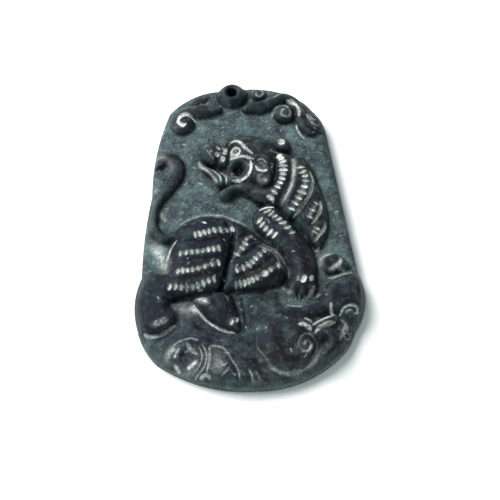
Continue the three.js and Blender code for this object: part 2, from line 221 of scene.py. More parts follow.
@dataclass
class Relief:
    """The carving as fields on a fine square lattice.

    Attributes:
        step: The lattice's spacing.
        low: Its lower left corner.
        high: Its upper right corner.
        blend: The height over which two forms run into each other.
        fullness: How full the forms are.
        form_margin: How far out an oval or a limb is worked, as a share of its half width.
        pad_margin: How far out of its outline a pad is worked.
        cut_margin: How far out a gouge is worked, as a share of its half length.
        hand: The hand that cuts the lines.
        draws: The random draws behind its unevenness.
        x: The lattice's columns.
        y: The lattice's rows.
        across: The x of every place.
        along: The y of every place.
        height: The carving's height above the ground.
        cut: How pale each place is cut.
    """

    step: float = 0.06
    low: Point = (-20.4, -28.8)
    high: Point = (20.4, 30.0)
    blend: float = 0.25
    fullness: float = 2.5
    form_margin: float = 1.3
    pad_margin: float = 0.6
    cut_margin: float = 1.1
    hand: Hand = Hand()
    draws: np.random.Generator = field(init=False, repr=False)
    x: np.ndarray = field(init=False, repr=False)
    y: np.ndarray = field(init=False, repr=False)
    across: np.ndarray = field(init=False, repr=False)
    along: np.ndarray = field(init=False, repr=False)
    height: np.ndarray = field(init=False, repr=False)
    cut: np.ndarray = field(init=False, repr=False)

    def __post_init__(self) -> None:
        """Lays out the lattice and its empty fields."""
        self.draws = np.random.default_rng(self.hand.seed)
        self.x = np.arange(self.low[0], self.high[0], self.step)
        self.y = np.arange(self.low[1], self.high[1], self.step)
        self.across, self.along = np.meshgrid(self.x, self.y)
        self.height = np.zeros_like(self.across)
        self.cut = np.zeros_like(self.across)

    def window(self, points: np.ndarray, margin: float) -> Window:
        """Finds the part of the lattice around some points.

        Args:
            points: The points to take in.
            margin: How far past them it reaches.

        Returns:
            The slices of rows and columns.
        """
        columns = np.searchsorted(self.x, [points[:, 0].min() - margin, points[:, 0].max() + margin])
        rows = np.searchsorted(self.y, [points[:, 1].min() - margin, points[:, 1].max() + margin])
        return slice(*rows), slice(*columns)

    def nearest(self, run: np.ndarray, window: Window) -> tuple[np.ndarray, np.ndarray]:
        """Measures the lattice from a run of steps.

        Args:
            run: The points of the run.
            window: The part of the lattice to measure.

        Returns:
            The distance to the run, and the share of the run at its nearest place.
        """
        x, y = self.across[window], self.along[window]
        gap = np.full(x.shape, np.inf)
        share = np.zeros(x.shape)
        for index, ((x0, y0), (x1, y1)) in enumerate(zip(run[:-1], run[1:])):
            dx, dy = x1 - x0, y1 - y0
            t = np.clip(((x - x0) * dx + (y - y0) * dy) / (dx * dx + dy * dy), 0, 1)
            here = np.hypot(x - x0 - t * dx, y - y0 - t * dy)
            closer = here < gap
            gap[closer] = here[closer]
            share[closer] = (index + t[closer]) / (len(run) - 1)
        return gap, share

    def inside(self, run: np.ndarray, window: Window) -> np.ndarray:
        """Tells which places lie inside a closed run.

        Args:
            run: The points of the run, its last on its first.
            window: The part of the lattice to test.

        Returns:
            True at each place inside.
        """
        x, y = self.across[window], self.along[window]
        held = np.zeros(x.shape, bool)
        for (x0, y0), (x1, y1) in zip(run[:-1], run[1:]):
            if y0 != y1:
                held ^= ((y0 > y) != (y1 > y)) & (x < (x1 - x0) * (y - y0) / (y1 - y0) + x0)
        return held

    def oval(self, centre: Point, half: Point, turn: float, margin: float) -> tuple[Window, np.ndarray]:
        """Measures the lattice from the middle of an oval.

        Args:
            centre: The middle of the oval.
            half: Its half length and half width.
            turn: How far it is turned, in degrees.
            margin: How far out it is measured, as a share of the greater half.

        Returns:
            The part of the lattice around it, and the distance from its middle, which is 1 on the oval.
        """
        window = self.window(np.array([centre]), margin * max(half))
        across, along = self.across[window] - centre[0], self.along[window] - centre[1]
        cos, sin = math.cos(math.radians(turn)), math.sin(math.radians(turn))
        lengthwise, sideways = (across * cos + along * sin) / half[0], (along * cos - across * sin) / half[1]
        return window, np.hypot(lengthwise, sideways)

    def raise_to(self, window: Window, form: np.ndarray) -> None:
        """Raises the carving to a form, rounded where the two meet.

        Args:
            window: The part of the lattice that the form takes up.
            form: The form's height at each place there.
        """
        base = self.height[window]
        near = np.maximum(self.blend - np.abs(base - form), 0) / self.blend
        self.height[window] = np.maximum(base, form) + near**2 * self.blend / 4

    def dome(
        self, centre: Point, half: Point, height: float, turn: float = 0.0, fullness: float | None = None
    ) -> None:
        """Raises an oval swelling.

        Args:
            centre: The middle of the oval.
            half: Its half width and half height.
            height: How high it rises.
            turn: How far it is turned, in degrees.
            fullness: How full it is, where that isn't as usual.
        """
        window, radius = self.oval(centre, half, turn, self.form_margin)
        self.raise_to(window, height * swell(1 - radius, fullness or self.fullness))

    def limb(self, points: Sequence[Point], half_widths: Sequence[float], height: float) -> None:
        """Raises a rounded limb along a curve.

        Args:
            points: The limb's middle line.
            half_widths: Its half widths, at even steps from start to end.
            height: How high it rises.
        """
        run = curve_through(points)
        window = self.window(run, self.form_margin * max(half_widths))
        gap, share = self.nearest(run, window)
        half = np.interp(share, np.linspace(0, 1, len(half_widths)), half_widths)
        self.raise_to(window, height * swell(1 - gap / half, self.fullness))

    def pad(
        self, points: Sequence[Point], height: float, shoulder: float, fullness: float | None = None
    ) -> None:
        """Raises a rounded pad inside a closed outline.

        Args:
            points: The outline of its foot.
            height: How high it rises.
            shoulder: How far in from its foot it reaches its top.
            fullness: How full it is, where that isn't as usual.
        """
        run = curve_through(points, closed=True)
        window = self.window(run, self.pad_margin)
        gap, _ = self.nearest(run, window)
        inward = np.where(self.inside(run, window), gap, -gap) / shoulder
        self.raise_to(window, height * swell(inward, fullness or self.fullness))

    def line(self, run: np.ndarray, width: float, depth: float, tone: Tone = Tone.PALE) -> None:
        """Cuts a groove with tapered ends, or raises a ridge where its depth is below zero.

        Args:
            run: The points of its middle line.
            width: Its width.
            depth: Its depth.
            tone: How pale it is cut.
        """
        hand = self.hand
        window = self.window(run, width)
        gap, share = self.nearest(run, window)
        taper = np.sqrt(np.clip(hand.line_taper * np.minimum(share, 1 - share), hand.line_end, 1))
        swings = zip(hand.sway, self.draws.uniform(0, 2 * math.pi, len(hand.sway)))
        uneven = sum(weight * np.cos(pace * share + phase) for (weight, pace), phase in swings)
        profile = np.clip(1 - (2 * gap / (width * taper * (1 + hand.unevenness * uneven))) ** 2, 0, 1)
        self.height[window] -= depth * taper * profile
        paleness = tone.value * (1 - hand.unevenness * (1 + uneven))
        self.whiten(window, paleness, profile)

    def whiten(self, window: Window, paleness: np.ndarray | float, profile: np.ndarray) -> None:
        """Leaves a cut pale, most on its bottom."""
        pale = paleness * np.clip(self.hand.pale_reach * profile, 0, 1)
        self.cut[window] = np.maximum(self.cut[window], pale)

    def groove(self, points: Sequence[Point], width: float, depth: float, tone: Tone = Tone.PALE) -> None:
        """Cuts a groove along a curve through a few points, as steadily as a hand follows them."""
        knots = np.asarray(points) + self.draws.normal(0, self.hand.wobble, (len(points), 2))
        self.line(curve_through(knots), width, depth, tone)

    def gouge(
        self,
        centre: Point,
        half: Point,
        depth: float,
        turn: float = 0.0,
        tone: Tone = Tone.PALE,
        share: float = 1.0,
    ) -> None:
        """Cuts one short oval gouge.

        Args:
            centre: Its middle.
            half: Its half length and half width.
            depth: Its depth.
            turn: The direction of its length, in degrees.
            tone: How pale it is cut.
            share: The share of that tone that the hand gave it.
        """
        window, radius = self.oval(centre, half, turn, self.cut_margin)
        profile = np.clip(1 - radius**self.hand.bowl, 0, 1)
        self.height[window] -= depth * profile
        self.whiten(window, share * tone.value, profile)

    def rub(self, points: Sequence[Point], width: float, tone: Tone) -> None:
        """Rubs the stone paler along a curve, without cutting it.

        Args:
            points: The points of the curve.
            width: How far the rubbing reaches to either side.
            tone: How pale it becomes.
        """
        hand = self.hand
        run = curve_through(points)
        window = self.window(run, width)
        gap, share = self.nearest(run, window)
        ends = np.sqrt(np.clip(hand.rub_taper * np.minimum(share, 1 - share), hand.rub_end, 1))
        fade = np.clip(1 - gap / width, 0, 1) ** hand.rub_falloff * ends
        self.cut[window] = 1 - (1 - self.cut[window]) * (1 - tone.value * fade)

    def gouge_row(self, row: GougeRow) -> None:
        """Cuts a row of gouges, each a little uneven as a hand leaves them.

        Args:
            row: The row.
        """
        hand = self.hand
        self.rub(row.points, row.length / 2, Tone.TRACE)
        run = curve_through(row.points)
        place = np.linspace(0, len(run) - 1, row.count)
        steps = np.arange(len(run))
        slope = np.gradient(run, axis=0)
        for where in place:
            centre = (np.interp(where, steps, run[:, 0]), np.interp(where, steps, run[:, 1]))
            dx, dy = (np.interp(where, steps, slope[:, axis]) for axis in (0, 1))
            *sizes, turned = self.draws.uniform(-1, 1, 4)
            longer, wider, deeper = (1 + vary * size for vary, size in zip(hand.gouge_vary, sizes))
            turn = math.degrees(math.atan2(dy, dx)) + 90 + row.lean + hand.gouge_turn * turned
            half = (row.length / 2 * longer, row.width / 2 * wider)
            share = hand.gouge_tone[0] + hand.gouge_tone[1] * sizes[2]
            self.gouge(centre, half, hand.gouge_depth * deeper, turn, row.tone, share)

    def nick(self, count: int) -> None:
        """Scatters small nicks of long wear over the stone, each painted pale as a glint.

        Args:
            count: How many nicks there are.
        """
        for _ in range(count):
            x, y, length, width, turn = self.draws.uniform(self.hand.nick_least, self.hand.nick_most)
            self.gouge((x, y), (length, width), self.hand.nick_depth, turn, Tone.FAINT)

    def soften(self, values: np.ndarray, reach: float) -> np.ndarray:
        """Averages a field over its neighbourhood.

        Args:
            values: The field.
            reach: How far the averaging reaches.

        Returns:
            The softened field.
        """
        half = max(1, round(reach / self.step / 2))
        for axis in (0, 1):
            for _ in range(SOFTENING_PASSES):
                pad = [(half + 1, half) if axis == side else (0, 0) for side in (0, 1)]
                total = np.cumsum(np.pad(values, pad, mode="edge"), axis=axis)
                upper = np.take(total, range(2 * half + 1, total.shape[axis]), axis=axis)
                lower = np.take(total, range(total.shape[axis] - 2 * half - 1), axis=axis)
                values = (upper - lower) / (2 * half + 1)
        return values

    def sample(self, values: np.ndarray, x: np.ndarray, y: np.ndarray) -> np.ndarray:
        """Reads a field between its lattice points.

        Args:
            values: The field.
            x: The places' x.
            y: The places' y.

        Returns:
            The field's values there.
        """
        column = np.clip((x - self.x[0]) / self.step, 0, len(self.x) - 1 - TINY)
        row = np.clip((y - self.y[0]) / self.step, 0, len(self.y) - 1 - TINY)
        c, r = column.astype(int), row.astype(int)
        p, q = column - c, row - r
        lower = values[r, c] * (1 - p) + values[r, c + 1] * p
        upper = values[r + 1, c] * (1 - p) + values[r + 1, c + 1] * p
        return lower * (1 - q) + upper * q


@dataclass(frozen=True)
class EdgeArc:
    """One arc of the plaque's edge.

    Attributes:
        at: Where it starts.
        bow: How far it bows out of its chord.
        corner: Whether one of the outline's four sides starts there.
    """

    at: Point
    bow: float
    corner: bool = False


@dataclass
class Blank:
    """The plaque before it is carved: a plate with a rounded edge, a crowned front and a flat back.

    Attributes:
        edge_height: The height of the widest line of the edge.
        edge_round: How far in the edge's rounding reaches on the front.
        back_round: How far in it reaches on the back.
        back_rings: How many steps round off the back.
        back_margin: The width of the strip inside the back's rounding.
        rim_ground: The ground's height at the rim.
        crown: How much higher the ground is in the middle.
        crown_half: The crown's half width and half height.
        relief_limit: The most that the carving rises over the ground.
        relief_fade: How quickly it reaches that, going in from the edge.
        edge: The arcs of the outline, anticlockwise from the lower right corner.
    """

    edge_height: float = 1.6
    edge_round: float = 1.6
    back_round: float = 1.3
    back_rings: int = 5
    back_margin: float = 0.6
    rim_ground: float = 2.9
    crown: float = 1.3
    crown_half: Point = (19.5, 29.5)
    relief_limit: float = 3.2
    relief_fade: float = 1.5
    edge: tuple[EdgeArc, ...] = (
        EdgeArc((14.3, -22.2), 0.3, corner=True),
        EdgeArc((16.7, -18.3), 1.4),
        EdgeArc((18.0, -8.6), 0.0),
        EdgeArc((14.85, 19.2), 0.3),
        EdgeArc((12.8, 23.05), 0.25, corner=True),
        EdgeArc((9.9, 25.85), 0.6),
        EdgeArc((1.36, 27.95), 1.1),
        EdgeArc((-2.96, 27.85), 1.0),
        EdgeArc((-11.8, 23.8), 0.75, corner=True),
        EdgeArc((-15.5, 8.2), 0.35),
        EdgeArc((-17.9, -6.8), 0.75),
        EdgeArc((-19.1, -15.6), 0.5),
        EdgeArc((-16.2, -21.9), 1.5, corner=True),
        EdgeArc((0.0, -27.5), 1.6),
    )

    def arc(self, start: Point, end: Point, bow: float) -> np.ndarray:
        """Draws one arc of the edge.

        Args:
            start: Its start.
            end: Its end.
            bow: How far it bows out of its chord.

        Returns:
            Its points, without the last.
        """
        share = np.linspace(0, 1, ARC_STEPS, endpoint=False)[:, None]
        first, last = np.array(start), np.array(end)
        if bow == 0:
            return first + (last - first) * share
        chord = np.linalg.norm(last - first)
        radius = chord**2 / (8 * bow) + bow / 2
        forward = (last - first) / chord
        outward = np.array([forward[1], -forward[0]])
        centre = (first + last) / 2 + outward * (bow - radius)
        angle = (2 * share - 1) * math.asin(chord / 2 / radius)
        return centre + radius * (np.cos(angle) * outward + np.sin(angle) * forward)

    def sides(self) -> list[np.ndarray]:
        """Draws the outline's four sides: right, top, left and bottom, each anticlockwise.

        Returns:
            Each side's points, its last on the next side's first.
        """
        sides: list[list[np.ndarray]] = []
        for index, arc in enumerate(self.edge):
            following = self.edge[(index + 1) % len(self.edge)]
            if arc.corner:
                sides.append([])
            sides[-1].append(self.arc(arc.at, following.at, arc.bow))
        starts = [side[0][:1] for side in sides]
        return [np.vstack([*side, starts[(k + 1) % len(sides)]]) for k, side in enumerate(sides)]

    def middle(self) -> np.ndarray:
        """Finds the middle of the outline's box, which lies over the frame's origin."""
        points = np.vstack(self.sides())
        return (points.min(0) + points.max(0)) / 2

    def plan(self, u: np.ndarray, v: np.ndarray) -> np.ndarray:
        """Lays a square of divisions out over the plaque, its edge on the outline.

        Args:
            u: The places' share of the way across, from -1 to 1.
            v: The places' share of the way along, from -1 to 1.

        Returns:
            The places' x and y.
        """
        share = np.maximum(np.abs(u), np.abs(v))
        scale = np.maximum(share, TINY)
        places = np.zeros((len(u), 2))
        upright = np.abs(u) >= np.abs(v)
        right, top, left, bottom = self.sides()
        for side, chosen, run in (
            (right, upright & (u > 0), v),
            (left, upright & (u <= 0), -v),
            (top, ~upright & (v > 0), -u),
            (bottom, ~upright & (v <= 0), u),
        ):
            length = np.append(0, np.cumsum(np.linalg.norm(np.diff(side, axis=0), axis=1)))
            where = length[-1] * (1 + run[chosen] / scale[chosen]) / 2
            for axis in (0, 1):
                places[chosen, axis] = np.interp(where, length, side[:, axis])
        return places * share[:, None]

    def inset(self, relief: Relief) -> np.ndarray:
        """Measures how far in from the outline each lattice place lies, below zero outside.

        Args:
            relief: The carving's fields.

        Returns:
            The distance at each place of the lattice.
        """
        run = np.vstack([side[:-1] for side in self.sides()])
        run = np.vstack([run, run[:1]])
        everywhere = (slice(None), slice(None))
        gap, _ = relief.nearest(run, everywhere)
        return np.where(relief.inside(run, everywhere), gap, -gap)

    def ground(self, x: np.ndarray, y: np.ndarray) -> np.ndarray:
        """Gives the height of the crowned ground at some places."""
        fall = (x / self.crown_half[0]) ** 2 + (y / self.crown_half[1]) ** 2
        return self.rim_ground + self.crown * (1 - fall)


class Motif(Protocol):
    """A figure of the carving: all figures' forms are raised before their lines are cut.

    Attributes:
        polish: How fully it is polished, over 1 where the polish hides its own thin places.
    """

    polish: float

    def raise_forms(self, relief: Relief) -> None:
        """Raises the figure's forms."""

    def cut_lines(self, relief: Relief) -> None:
        """Cuts the figure's lines."""


@dataclass
class Bead:
    """The bead at the top, drilled from front to back for the cord.

    Attributes:
        centre: The bead's middle.
        radius: Its radius.
        height: How high it stands over the ground.
        polish: How fully it is polished.
        hole_diameter: The drilled hole's width.
        mouth: How much wider the hole's mouth is worn.
        mouth_depth: How deep that reaches.
        drill_sides: The divisions around the hole.
        drill_length: The drill's length.
        drill_middle: The height of its middle.
        flare: How much wider its foot is.
        flare_depth: The foot's length.
    """

    centre: Point = (-0.8, 26.1)
    radius: float = 2.85
    height: float = 1.7
    polish: float = 1.0
    hole_diameter: float = 1.8
    mouth: float = 1.45
    mouth_depth: float = 0.5
    drill_sides: int = 64
    drill_length: float = 9.0
    drill_middle: float = 5.0
    flare: float = 1.7
    flare_depth: float = 1.0

    def raise_forms(self, relief: Relief) -> None:
        """Raises the bead."""
        relief.dome(self.centre, (self.radius, self.radius), self.height)

    def cut_lines(self, relief: Relief) -> None:
        """Wears the hole's mouth wider."""
        worn = self.hole_diameter / 2 * self.mouth
        relief.gouge(self.centre, (worn, worn), self.mouth_depth, tone=Tone.DARK)

    def cutter(self, middle: np.ndarray) -> bpy.types.Object:
        """Makes the drill: a rod with a wider foot that eases the hole's mouth on the back.

        Args:
            middle: The layout's point over the frame's origin.

        Returns:
            The rod.
        """
        x, y = (np.array(self.centre) - middle) * MM
        bpy.ops.object.select_all(action="DESELECT")
        bpy.ops.mesh.primitive_cylinder_add(
            vertices=self.drill_sides,
            radius=self.hole_diameter / 2 * MM,
            depth=self.drill_length * MM,
            location=(x, y, self.drill_middle * MM),
        )
        rod = bpy.context.object
        bpy.ops.object.transform_apply(location=True)
        bpy.ops.object.mode_set(mode="EDIT")
        bpy.ops.mesh.select_all(action="DESELECT")
        bpy.ops.object.mode_set(mode="OBJECT")
        for face in rod.data.polygons:
            face.select = face.normal.z < TINY - 1
        bpy.ops.object.mode_set(mode="EDIT")
        bpy.ops.mesh.extrude_region_move(TRANSFORM_OT_translate={"value": (0, 0, -self.flare_depth * MM)})
        bpy.ops.transform.resize(value=(self.flare, self.flare, 1), center_override=(x, y, 0))
        bpy.ops.object.mode_set(mode="OBJECT")
        return rod


@dataclass
class CloudScrolls:
    """The cloud scrolls along the top, left and right of the bead.

    Attributes:
        height: How high the clouds stand.
        line: The width of their scroll lines.
        polish: How fully they are polished.
    """

    height: float = 1.2
    line: float = 0.45
    polish: float = 1.0

    def raise_forms(self, relief: Relief) -> None:
        """Raises the clouds' bars, balls and curls.

        Args:
            relief: The carving's fields.
        """
        relief.limb(
            [(-3.4, 23.2), (-5.6, 23.2), (-8.2, 23.3), (-9.8, 22.4)], [0.9, 1.5, 1.3, 1.3], self.height
        )
        relief.dome((-9.6, 20.9), (2.3, 2.3), self.height)
        relief.dome((-6.4, 25.4), (1.9, 0.8), 0.35, turn=20)
        relief.dome((3.7, 26.1), (1.7, 1.5), 0.8)
        right = [(1.5, 23.0), (3.6, 23.2), (6.3, 24.1), (8.2, 25.2), (9.8, 24.4), (10.4, 22.4)]
        relief.limb(right, [0.9, 1.4, 1.3, 1.1, 1.1, 0.9], self.height)
        relief.dome((7.95, 21.8), (2.3, 2.2), 1.1 * self.height)
        relief.limb([(10.6, 22.2), (10.9, 19.6), (11.9, 18.0)], [1.0, 1.2, 1.0], self.height)
        relief.dome((12.5, 19.6), (2.2, 2.6), self.height, turn=20)

    def cut_lines(self, relief: Relief) -> None:
        """Cuts the scroll lines, and paints a highlight along the top edge of the right cloud bar.

        Args:
            relief: The carving's fields.
        """
        crescent = [
            (-7.4, 21.2), (-7.9, 22.1), (-8.7, 22.45), (-9.5, 22.3), (-10.15, 21.75), (-10.3, 21.1),
            (-9.9, 20.5), (-9.4, 20.3), (-8.95, 20.55),
        ]
        for points, width, depth, tone in (
            (crescent, 1.4 * self.line, 0.3, Tone.BRIGHT),
            ([(-6.5, 24.9), (-5.7, 24.7), (-4.9, 25.2)], 0.35, 0.15, Tone.FAINT),
            ([(-9.2, 23.8), (-8.4, 24.0), (-7.7, 24.4)], 0.35, 0.15, Tone.FAINT),
            ([(-3.4, 21.9), (-5.4, 21.6), (-7.2, 21.9)], 0.5, 0.2, Tone.DARK),
        ):
            relief.groove(points, width, depth, tone)
        scroll = [
            (5.8, 21.2), (6.2, 22.4), (7.1, 23.2), (8.2, 23.05), (8.85, 22.3), (8.9, 21.5), (8.5, 20.95),
            (7.8, 20.95), (7.3, 21.5), (7.45, 22.05), (8.0, 22.1),
        ]
        for points, width, depth, tone in (
            (scroll[:5], 1.3 * self.line, 0.3, Tone.FAINT),
            (scroll[4:], self.line, 0.3, Tone.FAINT),
            (
                [(8.4, 24.4), (9.4, 23.8), (10.2, 22.8), (10.5, 21.75), (10.25, 20.7)],
                1.3 * self.line, 0.3, Tone.PALE,
            ),
            ([(9.85, 19.6), (9.95, 18.5), (10.5, 17.6), (11.0, 16.95)], 0.8 * self.line, 0.3, Tone.CLEAR),
            (
                [(11.7, 21.8), (12.0, 20.3), (12.7, 19.2), (13.5, 19.0), (13.9, 19.4)],
                self.line, 0.3, Tone.FAINT,
            ),
            ([(12.2, 21.3), (12.6, 20.3), (13.25, 19.8)], 0.8 * self.line, 0.2, Tone.FAINT),
        ):
            relief.groove(points, width, depth, tone)
        # Painted highlight along the lit top edge of the right cloud bar.
        relief.rub([(6.3, 25.0), (7.25, 25.3)], 0.4, Tone.FAINT)
        relief.line(winding((3.7, 26.1), 1.1, 0.3, 180, -1.2), 0.4, 0.3, Tone.FAINT)


@dataclass
class Tail:
    """The tiger's tail, up the left edge and curled over at its tip.

    Attributes:
        height: How high the tail stands.
        points: Its middle line.
        half_widths: Its half widths, from the rump to the tip.
        polish: How fully it is polished.
    """

    height: float = 1.1
    points: tuple[Point, ...] = (
        (-12.2, -0.6), (-14.2, -0.7), (-15.5, 1.4), (-15.2, 4.2), (-14.1, 6.4), (-12.5, 8.5), (-11.1, 10.6),
        (-11.0, 12.7), (-12.3, 14.2), (-14.4, 13.9),
    )
    half_widths: tuple[float, ...] = (1.1, 1.0, 0.85, 1.2, 1.45, 1.3)
    polish: float = 1.0

    def raise_forms(self, relief: Relief) -> None:
        """Raises the tail."""
        relief.limb(self.points, self.half_widths, self.height)

    def cut_lines(self, relief: Relief) -> None:
        """Cuts the hollow of the curl, rubs the recess beside the rump, and paints light along the tail's
        left side and over its curled tip.

        Args:
            relief: The carving's fields.
        """
        relief.groove([(-15.2, 12.6), (-14.0, 12.7), (-12.9, 12.4)], 0.8, 0.4, Tone.DARK)
        relief.groove([(-13.6, -4.8), (-12.9, -2.9), (-11.7, -1.9)], 0.45, 0.25, Tone.CLEAR)
        for points, width, tone in (
            ([(-16.2, -1.8), (-14.9, -2.8), (-14.2, -4.6), (-14.0, -6.6)], 1.7, Tone.FAINT),
            ([(-15.6, -2.6), (-14.6, -3.8), (-14.0, -6.4)], 0.8, Tone.FAINT),
            ([(-14.1, 4.4), (-13.9, 3.4), (-13.3, 2.6)], 0.6, Tone.FAINT),
            # Painted light on the tail's lit left side and over the top of its curled tip.
            ([(-14.9, 9.0), (-14.6, 8.2)], 0.8, Tone.TRACE),
            ([(-14.8, 14.6), (-13.4, 14.3), (-12.2, 13.2), (-12.0, 11.4)], 0.9, Tone.TRACE),
        ):
            relief.rub(points, width, tone)


@dataclass
class Body:
    """The tiger's haunch, flank and hind legs, with its stripes as rows of gouges.

    Attributes:
        haunch_height: How high the haunch stands.
        flank_height: How high the flank stands.
        leg_height: How high the hind legs stand.
        polish: How fully they are polished.
        stripes: The rows of gouges.
    """

    haunch_height: float = 2.5
    flank_height: float = 2.1
    leg_height: float = 1.5
    polish: float = 1.25
    stripes: tuple[GougeRow, ...] = (
        GougeRow(((-8.65, -1.6), (-5.9, -1.15), (-2.4, -0.7)), 8, 1.2, lean=8, tone=Tone.CLEAR),
        GougeRow(((-11.3, -4.65), (-8.0, -4.65), (-4.9, -4.3)), 8, 1.2, lean=6, tone=Tone.CLEAR),
        GougeRow(((-11.8, -7.8), (-9.0, -7.8), (-5.1, -6.8)), 8, 1.1, lean=4, tone=Tone.CLEAR),
        GougeRow(((-13.3, -10.2), (-9.6, -10.55), (-6.0, -9.6)), 9, 1.1, tone=Tone.CLEAR),
        GougeRow(((-1.95, -5.45), (-1.1, -4.5), (-0.5, -3.7)), 3, 1.2, 0.55, tone=Tone.CLEAR),
        GougeRow(((-0.3, -2.9), (0.6, -2.4)), 2, 1.0, 0.45, tone=Tone.FAINT),
        GougeRow(((-2.2, -8.4), (-0.2, -7.6), (1.0, -6.5), (2.5, -5.1)), 7, 1.3, 0.6, tone=Tone.CLEAR),
        GougeRow(((-2.5, -10.7), (-0.6, -10.4), (1.3, -9.7), (4.6, -7.9)), 9, 1.1, 0.65, tone=Tone.CLEAR),
    )

    def raise_forms(self, relief: Relief) -> None:
        """Raises the masses of the body.

        Args:
            relief: The carving's fields.
        """
        haunch = [
            (-12.5, -0.4), (-10.9, 1.4), (-9.0, 2.3), (-6.7, 2.6), (-4.6, 2.3), (-2.7, 1.2), (-2.1, -2.2),
            (-3.0, -6.0), (-4.0, -9.2), (-5.8, -11.4), (-10.0, -11.7), (-14.4, -11.4), (-13.8, -6.5),
            (-12.9, -3.4),
        ]
        flank = [
            (-3.8, 1.6), (-1.2, 0.9), (0.8, -0.6), (2.8, -2.6), (4.8, -4.4), (6.2, -7.2), (5.6, -10.2),
            (2.8, -11.5), (-1.0, -11.7), (-4.6, -11.4), (-4.6, -7.5), (-3.4, -4.0),
        ]
        relief.pad(flank, self.flank_height, 3.2, 3.4)
        relief.pad(haunch, self.haunch_height, 4.2, 3.4)
        leg = [
            (-11.6, -8.2), (-14.0, -7.0), (-16.6, -7.0), (-18.4, -9.0), (-19.2, -12.5), (-19.3, -15.9),
            (-17.8, -17.8), (-15.2, -18.0), (-13.0, -17.0), (-12.1, -14.8), (-13.2, -12.8), (-12.2, -11.2),
        ]
        relief.pad(leg, self.leg_height, 2.0)
        paw = [
            (-9.8, -12.3), (-9.0, -14.2), (-7.8, -15.9), (-6.2, -17.3), (-4.6, -18.3), (-2.5, -18.8),
            (-1.8, -17.4), (-2.3, -14.8), (-3.2, -12.0), (-5.6, -10.9), (-8.2, -11.2),
        ]
        relief.pad(paw, self.leg_height, 2.0)

    def cut_lines(self, relief: Relief) -> None:
        """Cuts the crease beside the haunch, the stripes and the paws.

        Args:
            relief: The carving's fields.
        """
        crease = [
            (-1.9, 0.4), (-2.2, -2.6), (-2.9, -5.0), (-3.6, -7.2), (-4.0, -8.8), (-4.8, -10.4),
            (-6.0, -11.5),
        ]
        relief.groove(crease, 0.9, 0.8, Tone.DARK)
        relief.groove([(-14.6, -11.9), (-11.0, -12.1), (-7.6, -11.9), (-5.2, -11.6)], 0.9, 0.6, Tone.DARK)
        for furrow in (
            [(-11.6, -2.6), (-8.0, -3.05), (-4.4, -2.7)],
            [(-12.2, -6.2), (-8.4, -6.25), (-3.9, -5.7)],
            [(-13.2, -9.1), (-9.0, -9.2), (-4.6, -8.3)],
            [(-2.2, -3.3), (-0.6, -2.2), (0.8, -1.4)],
            [(-2.8, -7.0), (-0.6, -5.9), (2.2, -3.7)],
            [(-3.2, -9.6), (0.0, -8.9), (2.4, -7.5), (4.2, -6.2)],
        ):
            relief.groove(furrow, 1.2, 0.22, Tone.DARK)
        for row in self.stripes:
            relief.gouge_row(row)
        relief.gouge((2.4, -9.2), (0.65, 0.6), 0.3, tone=Tone.CLEAR)
        relief.gouge((-7.0, 0.6), (0.5, 0.2), 0.2, 150, Tone.CLEAR)
        back_line = [(-11.4, 1.5), (-9.0, 2.8), (-6.7, 3.1), (-4.4, 2.8), (-2.2, 1.8), (0.0, 0.6)]
        relief.groove(back_line, 0.28, 0.1, Tone.FAINT)
        relief.rub(back_line, 0.35, Tone.TRACE)
        paw_edge = [(-17.9, -17.4), (-17.0, -17.9), (-15.4, -17.9), (-14.1, -17.4), (-12.7, -16.4)]
        relief.groove(paw_edge, 0.6, 0.1, Tone.FAINT)
        relief.rub(paw_edge[:3], 0.3, Tone.FAINT)
        relief.groove([(x + 0.1, y - 0.6) for x, y in paw_edge[1:]], 0.5, 0.2, Tone.DARK)
        relief.rub([(-16.3, -16.4), (-15.3, -16.0), (-14.2, -15.6)], 0.75, Tone.FAINT)
        for x, y in ((-15.5, -16.2), (-14.4, -15.8)):
            relief.gouge((x, y), (0.42, 0.34), 0.4, 60, Tone.DARK)
            relief.groove([(x - 0.5, y - 0.2), (x - 0.5, y + 0.3), (x, y + 0.55)], 0.25, 0.1, Tone.CLEAR)
        relief.rub([(-12.3, -13.9), (-10.8, -13.8), (-9.4, -14.6)], 1.9, Tone.TRACE)
        relief.rub([(-10.0, -13.5), (-9.2, -14.5)], 0.6, Tone.CLEAR)
        foot_edge = [
            (-9.6, -13.1), (-8.8, -14.4), (-7.6, -16.0), (-6.1, -17.3), (-4.8, -18.1), (-3.0, -18.6),
        ]
        relief.groove(foot_edge, 0.42, 0.15, Tone.CLEAR)
        relief.rub([(-9.0, -12.3), (-8.0, -12.9), (-7.3, -13.4)], 0.8, Tone.CLEAR)
        relief.rub([(-4.0, -17.2), (-2.7, -16.6)], 0.8, Tone.TRACE)
        for x, y in ((-3.6, -17.1), (-2.7, -16.6)):
            relief.gouge((x, y), (0.5, 0.28), 0.25, 75, Tone.CLEAR)
        relief.groove([(-4.4, -12.3), (-4.0, -12.7), (-3.9, -13.3)], 0.25, 0.1, Tone.FAINT)
        relief.groove([(-1.7, -12.4), (-1.4, -14.6), (-1.2, -16.6), (-1.5, -18.8)], 0.7, 0.3, Tone.DARK)


